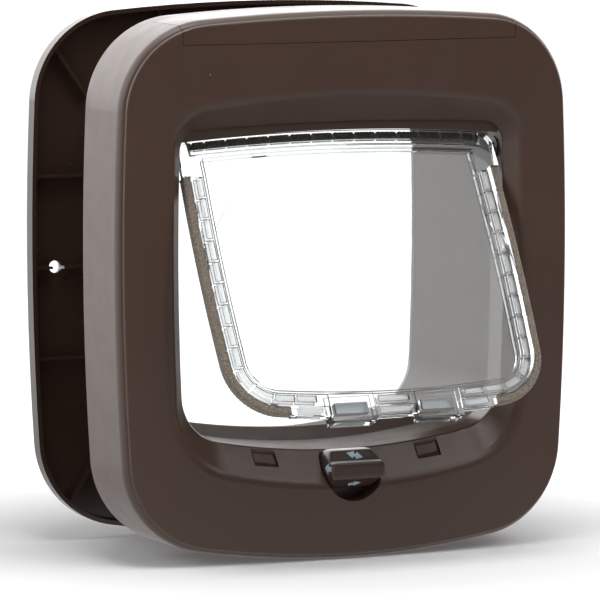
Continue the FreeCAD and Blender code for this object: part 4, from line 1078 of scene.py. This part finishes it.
@dataclass
class Case:
    """The room-side case and what it holds, with the header over the flap."""

    header_half: float = 84 * MM
    header_front: float = 36.5 * MM
    header_back: float = 24.5 * MM
    header_gap: float = 1.4 * MM
    header_rise: float = 0.6 * MM
    ring_radii: tuple[float, float] = (1.25 * MM, 0.38 * MM)
    ring_sunk: float = 0.1 * MM
    catch_travel: float = 8 * MM
    mouth_top: float = 75.1 * MM
    mouth_round: float = 1400 * MM

    def build_springs(self, paints: Paints) -> None:
        """Make each catch's spring as a copy with a mesh of its own. On the door it shortens towards its
        shelf as the catch rises.
        """
        for label in ("left", "right"):
            coil = solid_copy(f"{label}_catch_spring", f"{label}_catch_coil")
            finish_piece(coil, paints.steel, Slot.STEEL, Body.CASE, f"{label}_catch_spring", smooth=60.0)
            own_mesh(coil)

    def build_lamp_ring(self, paints: Paints) -> None:
        """Make the dark ring round the lamp's lens."""
        low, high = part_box("light_pipe")
        deselect()
        bpy.ops.mesh.primitive_torus_add(major_segments=32, minor_segments=10,
                                         major_radius=self.ring_radii[0], minor_radius=self.ring_radii[1])
        ring = bpy.context.object
        ring.name = "lamp_ring"
        place = Vector(((low[0] + high[0]) / 2, low[1] + self.ring_sunk, (low[2] + high[2]) / 2))
        ring.data.transform(Matrix.Translation(place) @ Matrix.Rotation(math.pi / 2, 4, "X"))
        finish_piece(ring, paints.lamp_ring, Slot.BROWN, Body.CASE, smooth=60.0)

    def build_header(self, paints: Paints, flap: Flap) -> None:
        """Make the header in the mouth that the flap's top pile brushes under.

        Args:
            paints: The finishes.
            flap: The flap, whose crown the header follows.
        """
        stations = []
        for index in range(41):
            x = -self.header_half + 2 * self.header_half * index / 40
            top = self.mouth_top - x ** 2 / (2 * self.mouth_round) + self.header_rise
            low = flap.axis.z + flap.crown(x) + self.header_gap
            stations.append([Vector((x, -self.header_front, low)), Vector((x, -self.header_back, low)),
                             Vector((x, -self.header_back, top)), Vector((x, -self.header_front, top))])
        header = tube("flap_header", stations)
        finish_piece(header, paints.tunnel_brown, Slot.BROWN, Body.CASE)

    def build(self, paints: Paints) -> None:
        """Dress the case's nodes and make its springs, header and lamp ring."""
        dress(paints.satin_brown, "front_bezel", "battery_cover")
        dress(paints.housing_brown, "side_housing", "rear_housing")
        dress(paints.steel, "case_screws", "latch_motor", "left_contact", "right_contact")
        dress(paints.hub_black, "left_pivot_bush", "right_pivot_bush")
        dress(paints.plated, "left_sill_magnet", "right_sill_magnet")
        dress(paints.cell_sleeve, *(f"battery_cell_{index}" for index in range(1, 5)))
        dress(paints.inner_black, "catch_shelf", "battery_tray", "dial_cam", "learn_button")
        dress(paints.board_green, "circuit_board")
        dress(paints.lamp_lens, "light_pipe")
        dress(paints.copper, "aerial_coil")
        self.build_springs(paints)
        self.build_header(paints, Flap())
        self.build_lamp_ring(paints)


class Tunnel:
    """The telescoping tunnel and the outer frame."""

    def build(self, paints: Paints) -> None:
        """Dress the tunnel's nodes."""
        dress(paints.tunnel_brown, "tunnel_sleeve", "tunnel_liner")
        dress(paints.frame_brown, "outer_frame")


# Studio

@dataclass
class Studio:
    """The camera at the photo's angle, a pale floor, soft lamps and a white surround."""

    lens: float = 338.9
    sensor: float = 36.0
    distance: float = 2.763
    target: Vector = field(default_factory=lambda: Vector((-0.004901, 0.000952, -0.014670)))
    back: Vector = field(default_factory=lambda: Vector((-0.4164, -0.9034, 0.1012)))
    right: Vector = field(default_factory=lambda: Vector((0.908, -0.4185, 0.0)))
    ambient: float = 0.42
    floor_side: float = 16.0
    near_glow: float = 0.05
    far_glow: float = 0.8
    mirror_dark: float = 0.12
    mirror_floor: float = 1.45
    mirror_sky: float = 4.0

    def build_camera(self) -> None:
        """Set the camera where the photo was taken from."""
        back = self.back.normalized()
        right = (self.right - back * self.right.dot(back)).normalized()
        data = bpy.data.cameras.new("studio_camera")
        data.lens, data.sensor_width = self.lens, self.sensor
        camera = bpy.data.objects.new("studio_camera", data)
        turn = Matrix((right, back.cross(right), back)).transposed().to_4x4()
        camera.matrix_world = Matrix.Translation(self.target + back * self.distance) @ turn
        bpy.context.scene.collection.objects.link(camera)
        bpy.context.scene.camera = camera

    def build_floor(self) -> None:
        """Lay a pale floor that keeps the object's shadow and shows white to the camera."""
        deselect()
        low = cad_box[0][2]
        bpy.ops.mesh.primitive_grid_add(x_subdivisions=8, y_subdivisions=8, size=self.floor_side,
                                        location=(0, 0, 0))
        floor = bpy.context.object
        floor.name = "studio_floor"
        floor.data.transform(Matrix.Translation((0, self.floor_side * 0.3, low - 0.2 * MM)))
        material, shader = blank_material("pale_floor")
        nodes, links = material.node_tree.nodes, material.node_tree.links
        shader.inputs["Roughness"].default_value = 0.8
        shader.inputs["Specular IOR Level"].default_value = 0.0
        shader.inputs["Emission Color"].default_value = (1, 1, 1, 1)
        paths, place = nodes.new("ShaderNodeLightPath"), nodes.new("ShaderNodeTexCoord")
        reach = nodes.new("ShaderNodeVectorMath")
        reach.operation = "LENGTH"
        links.new(place.outputs["Object"], reach.inputs[0])
        glow = ranged(nodes, links, reach.outputs["Value"], (0.12, 0.45), (self.near_glow, self.far_glow))
        mirrored = self.behind(nodes, links, place.outputs["Object"], (-0.9, 1.0), self.mirror_floor)
        tone = nodes.new("ShaderNodeMix")
        tone.data_type = "RGBA"
        tone.inputs[6].default_value = (0.88, 0.88, 0.89, 1)
        tone.inputs[7].default_value = (0.08, 0.08, 0.08, 1)
        links.new(paths.outputs["Is Glossy Ray"], tone.inputs[0])
        links.new(tone.outputs[2], shader.inputs["Base Color"])
        seen = self.seen_straight(nodes, links, paths)
        mix = nodes.new("ShaderNodeMix")
        links.new(paths.outputs["Is Glossy Ray"], mix.inputs[0])
        links.new(product(nodes, links, seen, glow), mix.inputs[2])
        links.new(mirrored, mix.inputs[3])
        links.new(mix.outputs[0], shader.inputs["Emission Strength"])
        floor.data.materials.append(material)

    def behind(self, nodes: bpy.types.Nodes, links: bpy.types.NodeLinks, place: bpy.types.NodeSocket,
               bounds: tuple[float, float], bright: float) -> bpy.types.NodeSocket:
        """How bright mirrored light is towards a place: dark in front, bright behind and to the left.

        Args:
            nodes: The tree's nodes.
            links: The tree's links.
            place: The place or direction.
            bounds: Range over which it grows from dark to bright.
            bright: Its most.

        Returns:
            The brightness.
        """
        toward = nodes.new("ShaderNodeVectorMath")
        toward.operation = "DOT_PRODUCT"
        toward.inputs[1].default_value = (-0.3, 0.8, 0.0)
        links.new(place, toward.inputs[0])
        return ranged(nodes, links, toward.outputs["Value"], bounds, (self.mirror_dark, bright))

    @staticmethod
    def seen_straight(nodes: bpy.types.Nodes, links: bpy.types.NodeLinks,
                      paths: bpy.types.Node) -> bpy.types.NodeSocket:
        """Whether a ray comes from the camera, straight or through the clear flap."""
        seen = nodes.new("ShaderNodeMath")
        seen.operation = "MAXIMUM"
        links.new(paths.outputs["Is Camera Ray"], seen.inputs[0])
        links.new(paths.outputs["Is Transmission Ray"], seen.inputs[1])
        return seen.outputs["Value"]

    def build_world(self) -> None:
        """Surround the object with white behind, a darker room in front, and soft ambient light."""
        world = bpy.data.worlds.new("studio_world")
        bpy.context.scene.world = world
        world.use_nodes = True
        nodes, links = world.node_tree.nodes, world.node_tree.links
        nodes.clear()
        output = nodes.new("ShaderNodeOutputWorld")
        paths = nodes.new("ShaderNodeLightPath")
        place = nodes.new("ShaderNodeTexCoord")
        ambient = nodes.new("ShaderNodeBackground")
        ambient.inputs["Strength"].default_value = self.ambient
        mirrored = nodes.new("ShaderNodeBackground")
        bright = self.behind(nodes, links, place.outputs["Generated"], (-0.6, 0.7), self.mirror_sky)
        links.new(bright, mirrored.inputs["Strength"])
        white = nodes.new("ShaderNodeBackground")
        white.inputs["Color"].default_value = (1, 1, 1, 1)
        ahead = nodes.new("ShaderNodeVectorMath")
        ahead.operation = "DOT_PRODUCT"
        ahead.inputs[1].default_value = (0.0, 1.0, 0.0)
        links.new(place.outputs["Generated"], ahead.inputs[0])
        through = ranged(nodes, links, ahead.outputs["Value"], (0.1, 0.85), (0.12, 1.0))
        most = nodes.new("ShaderNodeMath")
        most.operation = "MAXIMUM"
        links.new(through, most.inputs[0])
        links.new(paths.outputs["Is Camera Ray"], most.inputs[1])
        links.new(most.outputs["Value"], white.inputs["Strength"])
        first, second = nodes.new("ShaderNodeMixShader"), nodes.new("ShaderNodeMixShader")
        links.new(paths.outputs["Is Glossy Ray"], first.inputs[0])
        links.new(ambient.outputs[0], first.inputs[1])
        links.new(mirrored.outputs[0], first.inputs[2])
        links.new(self.seen_straight(nodes, links, paths), second.inputs[0])
        links.new(first.outputs[0], second.inputs[1])
        links.new(white.outputs[0], second.inputs[2])
        links.new(second.outputs[0], output.inputs["Surface"])

    def build_lamp(self, name: str, place: tuple, side: float, radiance: float) -> None:
        """Hang a square softbox that looks at the object.

        Args:
            name: The lamp's name.
            place: Where it hangs.
            side: Its side.
            radiance: How bright its face is, where white is 1.
        """
        data = bpy.data.lights.new(name, "AREA")
        data.shape, data.size = "SQUARE", side
        data.energy = radiance * side ** 2 * math.pi
        lamp = bpy.data.objects.new(name, data)
        lamp.location = place
        lamp.rotation_euler = (Vector(place) - Vector((0, -0.04, 0))).to_track_quat("Z", "Y").to_euler()
        bpy.context.scene.collection.objects.link(lamp)

    def build(self) -> None:
        """Set up the whole studio."""
        self.build_camera()
        self.build_floor()
        self.build_world()
        self.build_lamp("veil_box", (0.62, -0.91, 1.08), 0.9, 2.3)
        self.build_lamp("lip_box", (0.5, -0.28, 1.2), 0.5, 1.4)
        self.build_lamp("sky_box", (-0.2, -0.45, 1.4), 0.7, 6.0)
        self.build_lamp("left_box", (-1.4, -0.5, 0.7), 0.7, 2.2)
        bpy.context.scene.view_settings.view_transform = "Standard"


def main() -> None:
    """Make every piece in order."""
    logging.basicConfig(level=logging.INFO, format="%(name)s: %(message)s")
    paints = Paints()
    Studio().build()
    Case().build(paints)
    Tunnel().build(paints)
    Flap().build(paints)
    Dial().build(paints)
    Catches().build(paints)


if __name__ == "__main__":
    main()
